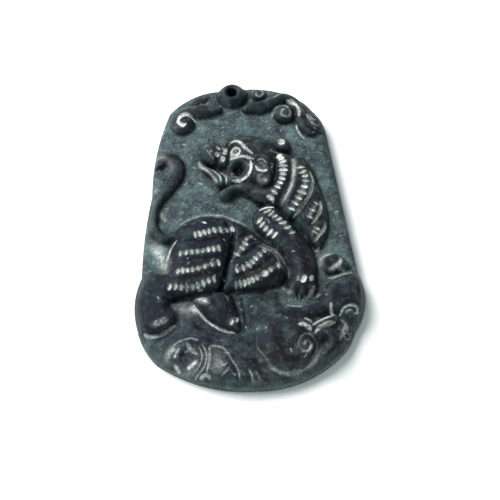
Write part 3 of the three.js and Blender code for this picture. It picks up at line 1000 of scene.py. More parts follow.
@dataclass
class Foreparts:
    """The tiger's neck and back in overlapping folds, its foreleg, and the small cloud beside it.

    Attributes:
        neck_height: How high the neck stands.
        leg_height: How high the foreleg stands.
        fold_line: The width of the pale crescents on the folds.
        polish: How fully they are polished.
        stripes: The rows of gouges.
    """

    neck_height: float = 2.4
    leg_height: float = 2.6
    fold_line: float = 0.5
    polish: float = 1.1
    stripes: tuple[GougeRow, ...] = (
        GougeRow(((6.3, 12.4), (6.9, 11.2), (6.85, 9.6), (6.5, 8.0), (5.6, 6.4), (4.3, 4.4)), 11, 1.4, 0.62),
        GougeRow(((9.8, 10.2), (10.3, 8.8), (10.4, 7.3), (9.7, 5.5), (8.7, 3.9), (7.65, 2.3)), 9, 1.6, 0.55),
        GougeRow(((11.8, 3.3), (11.1, 2.0), (10.6, 0.8)), 3, 1.3, 0.4),
        GougeRow(((11.6, -1.3), (11.2, -2.0)), 2, 1.2, 0.35, tone=Tone.CLEAR),
        GougeRow(((3.6, 1.9), (4.7, 0.85), (5.95, -0.3), (7.4, -2.2)), 7, 1.5, 0.6, lean=-8),
        GougeRow(((2.2, 0.5), (2.7, -0.5), (3.5, -1.6), (4.5, -2.5)), 5, 1.1, 0.6, lean=-8),
    )

    def raise_forms(self, relief: Relief) -> None:
        """Raises the folds of the back, the neck, the foreleg and the paws.

        Args:
            relief: The carving's fields.
        """
        outer = [
            (9.5, 13.2), (11.8, 10.9), (13.0, 6.6), (13.9, 2.0), (13.4, -2.0), (11.9, -4.6), (10.4, -3.6),
            (9.2, -1.6), (7.5, 1.5), (8.0, 6.0), (8.5, 10.0),
        ]
        third = [(11.0, 4.8), (12.8, 4.2), (12.8, 2.2), (11.8, 0.5), (10.4, -0.8), (9.2, 0.6), (9.4, 2.8)]
        fourth = [
            (11.6, 0.9), (13.4, 0.3), (13.0, -1.4), (12.0, -2.8), (10.7, -3.8), (9.9, -2.2), (10.4, -0.6),
        ]
        middle = [
            (8.9, 13.0), (10.9, 10.6), (11.9, 8.2), (11.5, 5.6), (10.4, 3.4), (8.8, 1.6), (6.9, 0.9),
            (6.0, 3.4), (7.4, 7.0), (8.0, 10.0),
        ]
        neck = [
            (5.2, 13.8), (6.4, 14.0), (8.4, 13.2), (8.9, 11.0), (8.5, 8.4), (7.4, 5.8), (5.9, 3.5),
            (4.6, 2.8), (2.3, 3.9), (1.0, 5.0), (0.1, 5.8), (1.6, 7.0), (4.4, 7.4), (5.0, 10.0),
        ]
        relief.pad(outer, 0.5 * self.neck_height, 1.4)
        relief.pad(fourth, 0.68 * self.neck_height, 1.1)
        relief.pad(third, 0.76 * self.neck_height, 1.2)
        relief.pad(middle, 0.86 * self.neck_height, 1.2)
        relief.pad(neck, self.neck_height, 2.0)
        leg = [(3.7, 1.1), (5.7, -2.0), (7.7, -4.8), (8.7, -7.4), (8.6, -9.6)]
        relief.limb(leg, [2.8, 3.1, 2.9, 2.5, 2.4], self.leg_height)
        relief.dome((8.4, -11.0), (2.8, 2.0), 2.1)
        for x, y in ((6.9, -11.7), (8.3, -12.1), (9.7, -11.6)):
            relief.dome((x, y), (0.9, 1.1), 1.8)
        cloud = [
            (11.6, -6.6), (12.9, -5.6), (14.5, -5.3), (15.9, -6.4), (17.0, -7.8), (15.2, -8.6), (13.0, -9.2),
            (11.8, -8.2),
        ]
        relief.pad(cloud, 0.9, 1.2)

    def cut_lines(self, relief: Relief) -> None:
        """Cuts the folds' crescents, the stripes, the claws and the small cloud.

        Args:
            relief: The carving's fields.
        """
        ridge = [(8.3, 13.0), (8.75, 11.0), (8.5, 8.6), (7.8, 6.7), (6.7, 4.9), (5.8, 3.4)]
        relief.groove(ridge, 0.8, -0.2, Tone.FAINT)
        relief.rub(ridge, 1.0, Tone.TRACE)
        relief.rub(ridge[3:], 0.7, Tone.TRACE)
        for crescent in (
            [(11.2, 9.6), (11.7, 8.1), (11.2, 6.0), (10.4, 4.2), (8.9, 2.3), (7.8, 1.2)],
            [(12.65, 4.0), (12.5, 2.45), (11.7, 1.0), (10.7, -0.45)],
            [(13.2, 0.0), (12.8, -1.3), (11.85, -2.55), (10.9, -3.6)],
        ):
            relief.groove(crescent, 1.2 * self.fold_line, 0.15, Tone.CLEAR)
        for row in self.stripes:
            relief.gouge_row(row)
        relief.groove([(2.2, 2.4), (3.5, 2.9), (4.9, 3.1)], 0.55, 0.3, Tone.BRIGHT)
        relief.groove([(3.05, 0.55), (3.45, 0.0), (3.8, -0.6)], 0.25, 0.2, Tone.FAINT)
        fold = [(2.2, -3.6), (3.4, -4.3), (4.5, -4.9), (5.1, -5.9), (5.7, -7.3), (6.3, -8.2), (6.5, -9.6)]
        relief.groove(fold, 0.55, 0.5, Tone.FAINT)
        relief.groove([(x - 0.6, y - 0.5) for x, y in fold[:-1]], 0.3, -0.15, Tone.FAINT)
        relief.gouge((8.65, -10.6), (0.68, 0.44), 0.3, 55, Tone.BRIGHT)
        relief.gouge((9.95, -10.3), (0.62, 0.28), 0.2, 60, Tone.BRIGHT)
        relief.gouge((7.75, -10.4), (0.45, 0.22), 0.3, 80, Tone.FAINT)
        relief.groove([(8.2, -13.4), (9.6, -12.7), (10.5, -11.3)], 0.5, 0.2, Tone.CLEAR)
        relief.groove([(5.6, -14.1), (6.9, -14.45), (8.1, -14.4)], 0.4, 0.15, Tone.FAINT)
        relief.groove([(5.0, -10.9), (6.0, -11.9), (7.3, -13.0)], 0.5, 0.2, Tone.FAINT)
        relief.gouge((10.9, -12.6), (0.6, 0.25), 0.15, 50, Tone.FAINT)
        relief.gouge((11.5, -4.5), (0.5, 0.22), 0.25, 30, Tone.FAINT)
        relief.rub([(11.8, -8.0), (11.8, -6.6), (12.6, -5.6), (13.8, -5.3)], 0.7, Tone.FAINT)
        relief.rub([(15.2, -6.4), (14.9, -7.3), (14.0, -8.0), (13.2, -8.5)], 0.55, Tone.CLEAR)
        relief.rub([(14.0, -7.8), (15.0, -8.3), (16.0, -8.6)], 0.5, Tone.FAINT)
        relief.groove([(12.8, -9.6), (14.2, -9.2), (15.6, -8.8), (17.0, -8.6)], 0.5, 0.2, Tone.CLEAR)


@dataclass
class Head:
    """The tiger's head, turned back over its shoulder with its mouth open.

    Attributes:
        height: How high the skull stands.
        eye: The eye's middle.
        eye_radius: The eye's radius.
        mouth: The middle of the open mouth.
        mouth_radius: The mouth's radius.
        mouth_depth: How deep the mouth is drilled.
        polish: How fully it is polished.
    """

    height: float = 2.4
    eye: Point = (-0.98, 13.6)
    eye_radius: float = 0.95
    mouth: Point = (-0.85, 10.1)
    mouth_radius: float = 1.75
    mouth_depth: float = 1.5
    polish: float = 1.0

    def raise_forms(self, relief: Relief) -> None:
        """Raises the skull, muzzle, jaw, lips, ear, brow and cheek curls.

        Args:
            relief: The carving's fields.
        """
        skull = [
            (-2.6, 16.2), (-0.9, 17.2), (0.9, 17.7), (2.8, 17.4), (4.8, 16.5), (6.5, 14.8), (6.7, 11.5),
            (6.0, 8.6), (4.8, 6.2), (1.0, 6.4), (-1.0, 7.2), (-2.6, 7.6), (-3.2, 9.0), (-2.9, 10.8),
            (-2.6, 13.0),
        ]
        relief.pad(skull, self.height, 2.4)
        relief.dome((-4.95, 14.4), (2.1, 2.5), 1.02 * self.height, fullness=3)
        relief.dome((-3.1, 13.0), (1.4, 1.7), 0.95 * self.height)
        relief.limb([(2.6, 6.4), (0.6, 6.8), (-1.4, 7.2), (-3.15, 6.2)], [1.6, 1.05, 0.7, 1.2], 2.0)
        relief.limb([(-7.1, 12.8), (-6.0, 11.3), (-4.4, 10.0), (-3.7, 8.7)], [0.5, 0.8, 1.1, 1.0], 1.2)
        relief.dome((6.9, 15.2), (1.6, 1.5), 1.9, fullness=5)
        relief.limb(
            [(-1.8, 15.1), (-0.9, 15.1), (0.2, 14.4), (1.2, 13.0)], [0.4, 0.6, 0.7, 0.5], self.height + 0.25
        )
        relief.dome(self.eye, (self.eye_radius, self.eye_radius), self.height + 0.25)
        relief.dome((3.3, 10.9), (1.2, 1.2), self.height + 0.3)
        relief.dome((3.0, 8.35), (1.1, 1.1), self.height + 0.15)

    def cut_lines(self, relief: Relief) -> None:
        """Cuts the eye, mouth, whisker pits, lips, ear and curls, and paints a highlight on the chin.

        Args:
            relief: The carving's fields.
        """
        x, y = self.mouth
        relief.gouge(
            self.mouth, (self.mouth_radius, 0.95 * self.mouth_radius), self.mouth_depth, 60, Tone.DARK
        )
        relief.gouge(
            (x + 0.2, y + 0.3), (0.55 * self.mouth_radius, 0.5 * self.mouth_radius), 1.0, 20, Tone.DARK
        )
        relief.rub([(x - 1.2, y + 0.4), (x - 0.9, y - 0.7), (x + 0.2, y - 1.2)], 0.5, Tone.TRACE)
        relief.line(winding(self.eye, 0.68, 0.68, 0, 1.3), 0.5, 0.15)
        relief.gouge(self.eye, (0.25, 0.25), 0.25, tone=Tone.FAINT)
        for x, y in ((-3.8, 14.66), (-4.1, 13.5), (-2.8, 13.6), (-3.2, 12.45)):
            relief.gouge((x, y), (0.44, 0.42), 0.3)
        relief.gouge((-5.1, 14.0), (0.25, 0.2), 0.2, tone=Tone.FAINT)
        relief.gouge((-2.85, 15.1), (0.85, 0.42), 0.12, -52)
        for points, width, depth, tone in (
            ([(-2.2, 12.8), (-1.3, 12.4), (-0.4, 12.5), (0.7, 12.4), (1.95, 11.9)], 0.65, 0.2, Tone.CLEAR),
            ([(-1.9, 15.2), (-0.9, 15.6), (0.0, 15.2), (0.7, 14.1), (1.8, 12.9)], 0.75, 0.2, Tone.PALE),
            (
                [(1.5, 11.6), (1.45, 10.5), (1.2, 9.5), (0.6, 8.7), (-0.4, 8.3), (-1.9, 8.25)],
                0.5, 0.1, Tone.BRIGHT,
            ),
            ([(-7.0, 13.6), (-5.9, 12.3), (-4.0, 11.5), (-2.8, 11.5)], 0.7, 0.6, Tone.DARK),
            ([(-5.9, 14.4), (-5.3, 13.4), (-4.8, 12.6)], 0.26, 0.2, Tone.FAINT),
        ):
            relief.groove(points, width, depth, tone)
        for lip in (
            [(-7.4, 13.0), (-7.0, 12.0), (-6.1, 11.1), (-5.2, 10.2), (-4.6, 9.25), (-4.4, 8.4)],
            [(-5.7, 11.7), (-4.8, 10.7), (-4.05, 9.7), (-3.65, 8.5)],
            [(-4.3, 11.1), (-3.6, 10.8), (-3.0, 10.1), (-2.75, 8.9), (-3.0, 8.2)],
        ):
            relief.groove(lip, 0.34, 0.2, Tone.CLEAR)
        relief.groove([(-4.4, 7.5), (-3.2, 7.7), (-2.2, 7.9)], 0.5, 0.4, Tone.DARK)
        relief.gouge((6.9, 15.3), (0.7, 0.65), 0.3, tone=Tone.CLEAR)
        relief.groove(
            [(4.7, 13.7), (5.5, 13.3), (6.6, 13.4), (7.6, 13.3), (8.4, 13.8)], 0.4, 0.25, Tone.FAINT
        )
        relief.groove([(2.2, 10.5), (2.6, 9.9), (3.3, 9.55), (4.2, 9.7)], 0.55, 0.2, Tone.PALE)
        relief.groove([(2.4, 11.6), (3.4, 11.8), (4.1, 10.9)], 0.35, 0.2, Tone.FAINT)
        relief.rub([(3.2, 10.9), (3.9, 10.3)], 0.7, Tone.TRACE)
        relief.rub([(2.5, 8.4), (2.8, 7.8), (3.6, 7.7), (4.0, 8.2)], 0.7, Tone.FAINT)
        relief.rub([(2.6, 8.6), (3.3, 8.8)], 0.5, Tone.TRACE)
        relief.gouge((3.1, 8.25), (0.4, 0.3), 0.25, 30, Tone.DARK)
        relief.gouge((3.6, 7.75), (0.4, 0.2), 0.15, 20, Tone.CLEAR)
        # Painted highlight on the top of the chin.
        relief.rub([(-3.7, 6.9), (-3.2, 7.2)], 0.5, Tone.FAINT)
        relief.groove([(3.4, 6.0), (4.6, 7.4), (5.5, 9.0), (5.9, 10.8), (5.8, 12.6)], 0.8, 0.1, Tone.DARK)


@dataclass
class Rocks:
    """The low dark rocks along the bottom, with two old coins on them, one over the other.

    Attributes:
        earth_height: How high the rocks' foot stands over the ground.
        rock_height: How high the rocks stand.
        front: The middle of the front coin.
        front_radius: Its radius.
        back: The middle of the coin behind it.
        back_radius: Its radius.
        coin_height: How high the front coin stands.
        rim: The width of a coin's rim.
        hole_middle: The middle of the front coin's square hole.
        hole: The hole's reach, from its middle to a corner.
        hole_turn: How far the hole is turned, in degrees.
        polish: How fully they are polished.
    """

    earth_height: float = 0.4
    rock_height: float = 0.9
    front: Point = (-11.3, -22.5)
    front_radius: float = 3.6
    back: Point = (-6.7, -24.9)
    back_radius: float = 4.3
    coin_height: float = 1.3
    rim: float = 0.55
    hole_middle: Point = (-11.5, -22.3)
    hole: float = 0.95
    hole_turn: float = 32.0
    polish: float = 0.85

    def raise_forms(self, relief: Relief) -> None:
        """Raises the rocks and the coins.

        Args:
            relief: The carving's fields.
        """
        earth = [
            (-20.0, -11.0), (-14.0, -11.6), (-8.0, -11.4), (-3.0, -11.4), (2.0, -11.4), (4.2, -11.6),
            (4.8, -13.6), (6.4, -15.0), (9.0, -15.2), (11.0, -14.4), (13.4, -11.4), (19.0, -10.0),
            (20.5, -13.0), (19.5, -18.0), (15.0, -25.0), (8.0, -29.0), (0.0, -30.5), (-9.0, -29.5),
            (-18.0, -25.0), (-21.5, -18.0),
        ]
        relief.pad(earth, self.earth_height, 1.4)
        rocks = [
            (-19.2, -18.2), (-15.6, -18.6), (-12.4, -17.4), (-10.4, -15.6), (-8.6, -17.0), (-5.6, -18.6),
            (-2.4, -19.2), (-0.6, -20.5), (0.4, -24.0), (0.6, -28.0), (-8.0, -29.0), (-17.0, -25.0),
            (-20.5, -20.0),
        ]
        relief.pad(rocks, self.rock_height, 1.6)
        for centre, radius, height in (
            (self.back, self.back_radius, 0.95 * self.coin_height),
            (self.front, self.front_radius, self.coin_height),
        ):
            relief.dome(centre, (radius, radius), height, fullness=7)

    def cut_lines(self, relief: Relief) -> None:
        """Sinks the coins' faces inside their rims, and cuts their square holes and plain strokes.

        Args:
            relief: The carving's fields.
        """
        face = self.front_radius - self.rim
        relief.gouge(self.front, (face, face), 0.2, tone=Tone.DARK)
        relief.rub([(-14.5, -22.4), (-13.9, -21.3), (-12.9, -20.5)], 1.0, Tone.FAINT)
        relief.rub([(-12.6, -24.8), (-10.8, -24.6), (-9.4, -22.6)], 1.3, Tone.TRACE)
        relief.groove([(-8.5, -20.1), (-8.0, -22.2), (-8.6, -24.2), (-10.3, -25.7)], 0.4, 0.3, Tone.FAINT)
        relief.groove([(-9.2, -20.4), (-8.7, -22.2), (-9.3, -24.1), (-10.4, -25.0)], 0.3, 0.2, Tone.FAINT)
        relief.groove([(-13.6, -20.3), (-12.2, -19.4), (-10.4, -19.0), (-9.2, -19.4)], 0.3, 0.15, Tone.FAINT)
        x, y = self.hole_middle
        corners = [math.radians(self.hole_turn + 45 + 90 * k) for k in range(5)]
        square = np.array([(x + self.hole * math.cos(a), y + self.hole * math.sin(a)) for a in corners])
        relief.gouge((x, y), (0.95 * self.hole, 0.95 * self.hole), 0.5, tone=Tone.DARK)
        for first, second in zip(square[:-1], square[1:]):
            relief.line(np.array([first, second]), 0.35, 0.25, Tone.DARK)
        for points, width, depth, tone in (
            ([(-11.3, -24.3), (-10.5, -23.7), (-9.6, -23.1)], 0.7, 0.15, Tone.PALE),
            ([(-13.2, -23.3), (-12.8, -23.8), (-12.4, -24.3)], 0.5, 0.15, Tone.CLEAR),
            ([(-11.1, -19.7), (-10.6, -20.8), (-9.6, -21.9)], 0.7, 0.15, Tone.FAINT),
            ([(-10.2, -21.3), (-9.5, -22.0)], 0.5, 0.1, Tone.FAINT),
            ([(-13.1, -22.3), (-12.9, -21.5), (-12.3, -20.7)], 0.45, 0.15, Tone.CLEAR),
        ):
            relief.groove(points, width, depth, tone)
        relief.rub([(-6.6, -21.6), (-6.2, -23.8), (-6.8, -25.6)], 1.6, Tone.TRACE)
        for points, width, depth, tone in (
            (
                [(-5.4, -21.0), (-4.7, -21.9), (-4.1, -23.1), (-3.2, -24.8), (-2.8, -26.6)],
                0.4, 0.2, Tone.FAINT,
            ),
            ([(-7.4, -20.7), (-7.4, -22.0), (-7.5, -23.4), (-8.1, -25.1)], 0.5, -0.1, Tone.FAINT),
            ([(-7.3, -20.6), (-6.4, -20.7), (-5.5, -21.0)], 0.4, 0.1, Tone.FAINT),
            ([(-5.8, -25.9), (-5.1, -25.2), (-4.4, -24.6)], 0.45, 0.18, Tone.FAINT),
            ([(-6.4, -23.3), (-5.8, -23.6), (-5.6, -24.3)], 0.4, 0.18, Tone.FAINT),
            ([(-9.3, -25.6), (-8.4, -25.5), (-7.5, -25.9)], 0.42, 0.12, Tone.PALE),
            ([(-9.0, -19.2), (-7.8, -19.7), (-6.6, -20.1)], 0.5, 0.3, Tone.DARK),
            ([(-1.3, -25.0), (-1.0, -26.0), (-0.7, -27.0)], 0.35, 0.2, Tone.FAINT),
            ([(-0.4, -25.2), (0.1, -26.0), (0.5, -26.9)], 0.35, 0.2, Tone.TRACE),
        ):
            relief.groove(points, width, depth, tone)


@dataclass
class ScrollHead:
    """The big scroll head at the lower right, two lobes tied where their stems cross.

    Attributes:
        height: How high the big lobe stands.
        line: The width of its scroll lines.
        polish: How fully it is polished.
    """

    height: float = 1.3
    line: float = 0.5
    polish: float = 1.0

    def raise_forms(self, relief: Relief) -> None:
        """Raises the lobes and the tie.

        Args:
            relief: The carving's fields.
        """
        relief.dome((5.4, -20.2), (5.5, 5.5), self.height, fullness=4)
        right = [
            (11.4, -12.6), (12.2, -11.0), (13.4, -10.0), (15.6, -9.2), (18.5, -9.2), (20.4, -13.0),
            (19.0, -17.8), (16.0, -17.4), (14.4, -16.4), (12.4, -16.0), (10.9, -15.2),
        ]
        relief.pad(right, 1.1 * self.height, 2.2)
        relief.limb(
            [(12.4, -14.2), (10.4, -15.4), (8.0, -15.7), (5.8, -15.2)],
            [1.9, 1.4, 1.2, 0.9], 0.75 * self.height,
        )
        relief.limb(
            [(10.0, -19.8), (12.2, -19.8), (13.2, -21.4), (11.2, -23.8)],
            [1.2, 1.8, 2.0, 1.8], 0.9 * self.height,
        )
        relief.limb([(8.0, -17.6), (9.4, -18.5), (11.0, -17.9), (13.3, -17.1)], [0.9, 0.9, 1.0, 0.9], 1.5)
        relief.dome((15.8, -15.9), (1.6, 1.5), self.height + 0.3)

    def cut_lines(self, relief: Relief) -> None:
        """Cuts the scroll lines and leaves the tie's bands standing.

        Args:
            relief: The carving's fields.
        """
        scroll = [
            (0.1, -20.5), (0.6, -21.8), (1.3, -22.9), (2.6, -24.5), (4.2, -25.3), (5.8, -25.5), (7.6, -25.0),
            (9.0, -23.7), (9.8, -22.3), (9.9, -21.0), (9.2, -19.9), (8.1, -19.7), (7.2, -20.4), (6.9, -21.5),
            (7.5, -22.3), (8.4, -22.2), (8.9, -21.5), (8.6, -20.8), (7.9, -20.8), (7.8, -21.4), (8.3, -21.5),
        ]
        relief.groove(scroll[:10], 0.8 * self.line, 0.45, Tone.TRACE)
        relief.groove(scroll[9:], 0.7 * self.line, 0.3, Tone.TRACE)
        rim = [
            (1.6, -23.6), (2.4, -24.8), (3.9, -25.8), (5.7, -26.1), (7.9, -25.4), (9.6, -23.9),
            (10.4, -22.4),
        ]
        relief.rub(rim, 0.6, Tone.TRACE)
        relief.rub(rim[1:4], 0.5, Tone.TRACE)
        relief.rub([(7.4, -22.6), (8.5, -22.4), (9.2, -21.4)], 0.5, Tone.FAINT)
        for band in (
            [(8.3, -16.9), (9.0, -17.3), (9.6, -17.8)],
            [(7.35, -17.9), (8.5, -18.5), (9.3, -19.3)],
            [(9.6, -18.35), (10.9, -17.4), (13.2, -16.6)],
            [(9.85, -19.6), (10.9, -18.5), (13.3, -17.7)],
        ):
            relief.groove(band, 1.25 * self.line, -0.2, Tone.CLEAR)
        relief.groove([(12.75, -14.4), (12.8, -15.4), (13.0, -16.4)], 0.45, -0.15, Tone.CLEAR)
        hook = [(14.1, -16.5), (14.8, -15.4), (15.9, -15.0), (16.9, -15.4), (17.1, -16.1), (16.5, -16.6)]
        for points, width, depth, tone in (
            (hook, self.line, 0.3, Tone.CLEAR),
            ([(15.2, -16.4), (15.6, -15.9), (16.1, -16.1)], 0.35, 0.25, Tone.FAINT),
            ([(14.1, -16.9), (14.9, -18.0), (15.2, -19.2)], 0.5, 0.2, Tone.FAINT),
            ([(14.9, -18.0), (14.4, -19.5), (13.8, -20.9)], 0.5, 0.2, Tone.FAINT),
        ):
            relief.groove(points, width, depth, tone)
        relief.line(winding((15.0, -19.9), 0.6, 0.5, 90, 1.0), 0.3, 0.2, Tone.FAINT)
        relief.groove([(10.4, -23.6), (11.2, -22.0), (11.0, -20.6)], 0.5, 0.25, Tone.DARK)


def linear(colour: str) -> tuple[float, float, float, float]:
    """Turns an sRGB hex colour into linear values.

    Args:
        colour: The colour, as # and six hex digits.

    Returns:
        Its linear red, green and blue, and an alpha of 1.
    """
    parts = [int(colour[k : k + 2], 16) / 255 for k in (1, 3, 5)]
    red, green, blue = (c / 12.92 if c <= 0.04045 else ((c + 0.055) / 1.055) ** 2.4 for c in parts)
    return red, green, blue, 1.0


Setting = str | int | float | bool
Link = bpy.types.NodeSocket | float | tuple[float, ...]
Inputs = dict[str | int, Link]


def connect(tree: bpy.types.NodeTree, node: bpy.types.Node, inputs: Inputs) -> None:
    """Fills a node's inputs.

    Args:
        tree: The material's nodes.
        node: The node.
        inputs: Its inputs by name or place, each a socket to link or a plain value.
    """
    for key, value in inputs.items():
        if isinstance(value, bpy.types.NodeSocket):
            tree.links.new(value, node.inputs[key])
        else:
            node.inputs[key].default_value = value


def add_node(
    tree: bpy.types.NodeTree,
    kind: str,
    inputs: Inputs | None = None,
    output: str | int = 0,
    **settings: Setting,
) -> bpy.types.NodeSocket:
    """Adds a node with its settings and links.

    Args:
        tree: The material's nodes.
        kind: The node's type.
        inputs: Its inputs by name or place.
        output: The output that is used.
        settings: Its settings by name.

    Returns:
        That output's socket.
    """
    node = tree.nodes.new(f"ShaderNode{kind}")
    for name, value in settings.items():
        setattr(node, name, value)
    connect(tree, node, inputs or {})
    return node.outputs[output]


@dataclass(frozen=True)
class Pattern:
    """A cloudy pattern in the stone, of a real size.

    Attributes:
        size: The size of its features, in millimetres.
        low: The noise at which the pattern starts.
        high: The noise at which it is full.
        least: The share that it has where it starts.
        most: The share that it has where it is full.
        detail: How many finer layers the noise has.
        crispness: How strong those are.
    """

    size: float
    low: float
    high: float
    least: float = 0.0
    most: float = 1.0
    detail: float = 3.0
    crispness: float = 0.6

    def noise(self, coords: Link) -> Inputs:
        """Lists the inputs of the pattern's noise."""
        scale = 1 / (self.size * MM)
        return {"Vector": coords, "Scale": scale, "Detail": self.detail, "Roughness": self.crispness}

    def share(self, tree: bpy.types.NodeTree, coords: Link) -> bpy.types.NodeSocket:
        """Adds the pattern to a material.

        Args:
            tree: The material's nodes.
            coords: The object's coordinates.

        Returns:
            The pattern's share at each place.
        """
        value = add_node(tree, "TexNoise", self.noise(coords))
        band = {"From Min": self.low, "From Max": self.high, "To Min": self.least, "To Max": self.most}
        return add_node(tree, "MapRange", {"Value": value, **band}, interpolation_type="SMOOTHSTEP")


@dataclass(frozen=True)
class BlackJade:
    """Black-green nephrite, wheel-cut: polished where it stands high, matt in the ground, pale in the cuts.

    Attributes:
        dark: The polished stone.
        deep: Its darker clouds.
        brown: Its warm stains.
        ground: The matt ground.
        ground_pale: The ground's paler patches and the worn ridges.
        green: The ground beside the forms and on the sides: greener, and lighter as painted light against
            their shade.
        cut: The bottom of a gouge.
        pit_and_shade_dark: The dark of the ground's pits, and the painted shade in the deep corners.
        glint: The polish's reflection.
        clouds: The polished stone's lighter clouds.
        stains: Its warm stains.
        patches: The ground's paler patches.
        shades: The ground's darker stretches.
        pits: The dark pits of the ground's grain.
        crumbs: The pale crumbs of the ground's grain.
        scratch: The fine scratches that the wheel left in the ground.
        scratch_slim: A scratch's width as a share of its length.
        scratch_turns: The ways that the scratches run, in degrees.
        thin: How the polish thins out in places.
        specks: The soft pale flecks all over the stone.
        chalk: The breaks in a pale cut.
        chalk_worn: The wider places where a pale cut is worn off.
        green_share: How much greener and lighter the ground is beside the forms, partly as painted light.
        worn_share: How much paler the worn ridges are.
        painted_shade_share: How dark the painted shade in the hollows is.
        ground_rough: The ground's roughness.
        polish_rough: The polished stone's roughness.
        cut_rough: How much rougher a cut is.
        uneven_rough: How the roughness varies with the grain.
        tooth: How strongly the grain catches the light.
        tooth_depth: The depth of the grain, in millimetres.
        tooth_polished: The share of it that polish leaves.
        reflection: The strength of the polish's reflection.
        ior: Nephrite's index of refraction.
    """

    dark: str = "#162026"
    deep: str = "#130f13"
    brown: str = "#1e181a"
    ground: str = "#363c41"
    ground_pale: str = "#586a6a"
    green: str = "#5a6a63"
    cut: str = "#dfe6df"
    pit_and_shade_dark: str = "#0d1113"
    glint: str = "#9db8ca"
    clouds: Pattern = Pattern(2.2, 0.35, 0.68)
    stains: Pattern = Pattern(9.0, 0.48, 0.66, most=0.7)
    patches: Pattern = Pattern(2.0, 0.35, 0.7, detail=5.0)
    shades: Pattern = Pattern(6.0, 0.35, 0.6, 0.4, 0.0)
    pits: Pattern = Pattern(0.4, 0.3, 0.55, 0.35, 0.0)
    crumbs: Pattern = Pattern(0.4, 0.55, 0.8, most=0.18)
    scratch: Pattern = Pattern(1.2, 0.64, 0.78, most=0.18, detail=2.0, crispness=0.5)
    scratch_slim: float = 1 / 6
    scratch_turns: tuple[float, ...] = (58.0, -28.0, 12.0)
    thin: Pattern = Pattern(2.0, 0.4, 0.7, 1.0, 0.68, detail=5.0)
    specks: Pattern = Pattern(0.8, 0.52, 0.75, most=0.06, detail=4.0)
    chalk: Pattern = Pattern(0.35, 0.36, 0.58, 0.4, detail=4.0)
    chalk_worn: Pattern = Pattern(2.0, 0.38, 0.56, 0.65, detail=5.0)
    green_share: float = 0.6
    worn_share: float = 0.28
    painted_shade_share: float = 0.6
    ground_rough: float = 0.75
    polish_rough: float = 0.5
    cut_rough: float = 0.35
    uneven_rough: Pattern = Pattern(0.4, 0.3, 0.7, -0.05, 0.08)
    tooth: float = 0.8
    tooth_depth: float = 0.12
    tooth_polished: float = 0.8
    reflection: float = 0.14
    ior: float = 1.61

    def lay(
        self, tree: bpy.types.NodeTree, base: Link, *layers: tuple[Link, float, Link]
    ) -> bpy.types.NodeSocket:
        """Lays colours over a colour.

        Args:
            tree: The material's nodes.
            base: The colour underneath.
            layers: Each layer's share at a place, its strength and its colour, from the lowest up.

        Returns:
            The colour on top.
        """
        for share, strength, colour in layers:
            weight = add_node(tree, "Math", {0: share, 1: strength}, operation="MULTIPLY")
            base = add_node(tree, "Mix", {0: weight, 6: base, 7: colour}, 2, data_type="RGBA")
        return base

    def scratches(self, tree: bpy.types.NodeTree, coords: Link) -> list[bpy.types.NodeSocket]:
        """Adds the fine scratches, one set for each way that they run.

        Args:
            tree: The material's nodes.
            coords: The object's coordinates.

        Returns:
            Each set's share.
        """
        sets = []
        for turn in self.scratch_turns:
            turned = (0.0, 0.0, math.radians(turn))
            along = {"Vector": coords, "Rotation": turned, "Scale": (1.0, self.scratch_slim, 1.0)}
            sets.append(self.scratch.share(tree, add_node(tree, "Mapping", along, vector_type="TEXTURE")))
        return sets

    def build(self) -> bpy.types.Material:
        """Builds the stone.

        Returns:
            The material.
        """
        # Wheel-cut black jade: near-black and softly glossy on the forms, dull between, chalky in the cuts.
        material = bpy.data.materials.new("black_jade_wheel_cut")
        material.use_nodes = True
        tree = material.node_tree
        coords = add_node(tree, "TexCoord", output="Object")
        figure, cut, worn, painted_shade, green_and_painted_light = (
            add_node(tree, "Attribute", output="Fac", attribute_name=mark.value) for mark in Mark
        )
        dark, pale, pit_and_shade_dark, ground_pale = map(linear, (self.dark, self.cut, self.pit_and_shade_dark, self.ground_pale))

        # The stone is cloudy, with warm stains; the polish brings its depth out.
        polished = self.lay(
            tree,
            linear(self.deep),
            (self.clouds.share(tree, coords), 1.0, dark),
            (self.stains.share(tree, coords), 1.0, linear(self.brown)),
        )

        # The ground is left from the wheel: matt, greyer, gritty and scratched; beside the forms it is
        # greener, and lighter as painted light against their shade.
        stone = self.lay(
            tree,
            linear(self.ground),
            (self.patches.share(tree, coords), 1.0, ground_pale),
            # Partly painted light: the shaded ground beside the forms and the sides are lifted with a
            # lighter green.
            (green_and_painted_light, self.green_share, linear(self.green)),
            (self.shades.share(tree, coords), 1.0, dark),
            (self.pits.share(tree, coords), 1.0, pit_and_shade_dark),
            (self.crumbs.share(tree, coords), 1.0, pale),
            *((scratch, 1.0, pale) for scratch in self.scratches(tree, coords)),
        )

        # The polish is thin in places and worn off the ridges, and the corners get painted shade.
        polish = add_node(tree, "Math", {0: figure, 1: self.thin.share(tree, coords)}, operation="MULTIPLY")
        stone = self.lay(
            tree,
            stone,
            (polish, 1.0, polished),
            (worn, self.worn_share, ground_pale),
            # Painted shade: the hollows darken towards near-black.
            (painted_shade, self.painted_shade_share, pit_and_shade_dark),
            (self.specks.share(tree, coords), 1.0, pale),
        )

        # The wheel leaves a pale cut chalky and unevenly worn.
        chalky = cut
        for pattern in (self.chalk, self.chalk_worn):
            broken = {0: chalky, 1: pattern.share(tree, coords)}
            chalky = add_node(tree, "Math", broken, operation="MULTIPLY")
        colour = self.lay(tree, stone, (chalky, 1.0, pale))

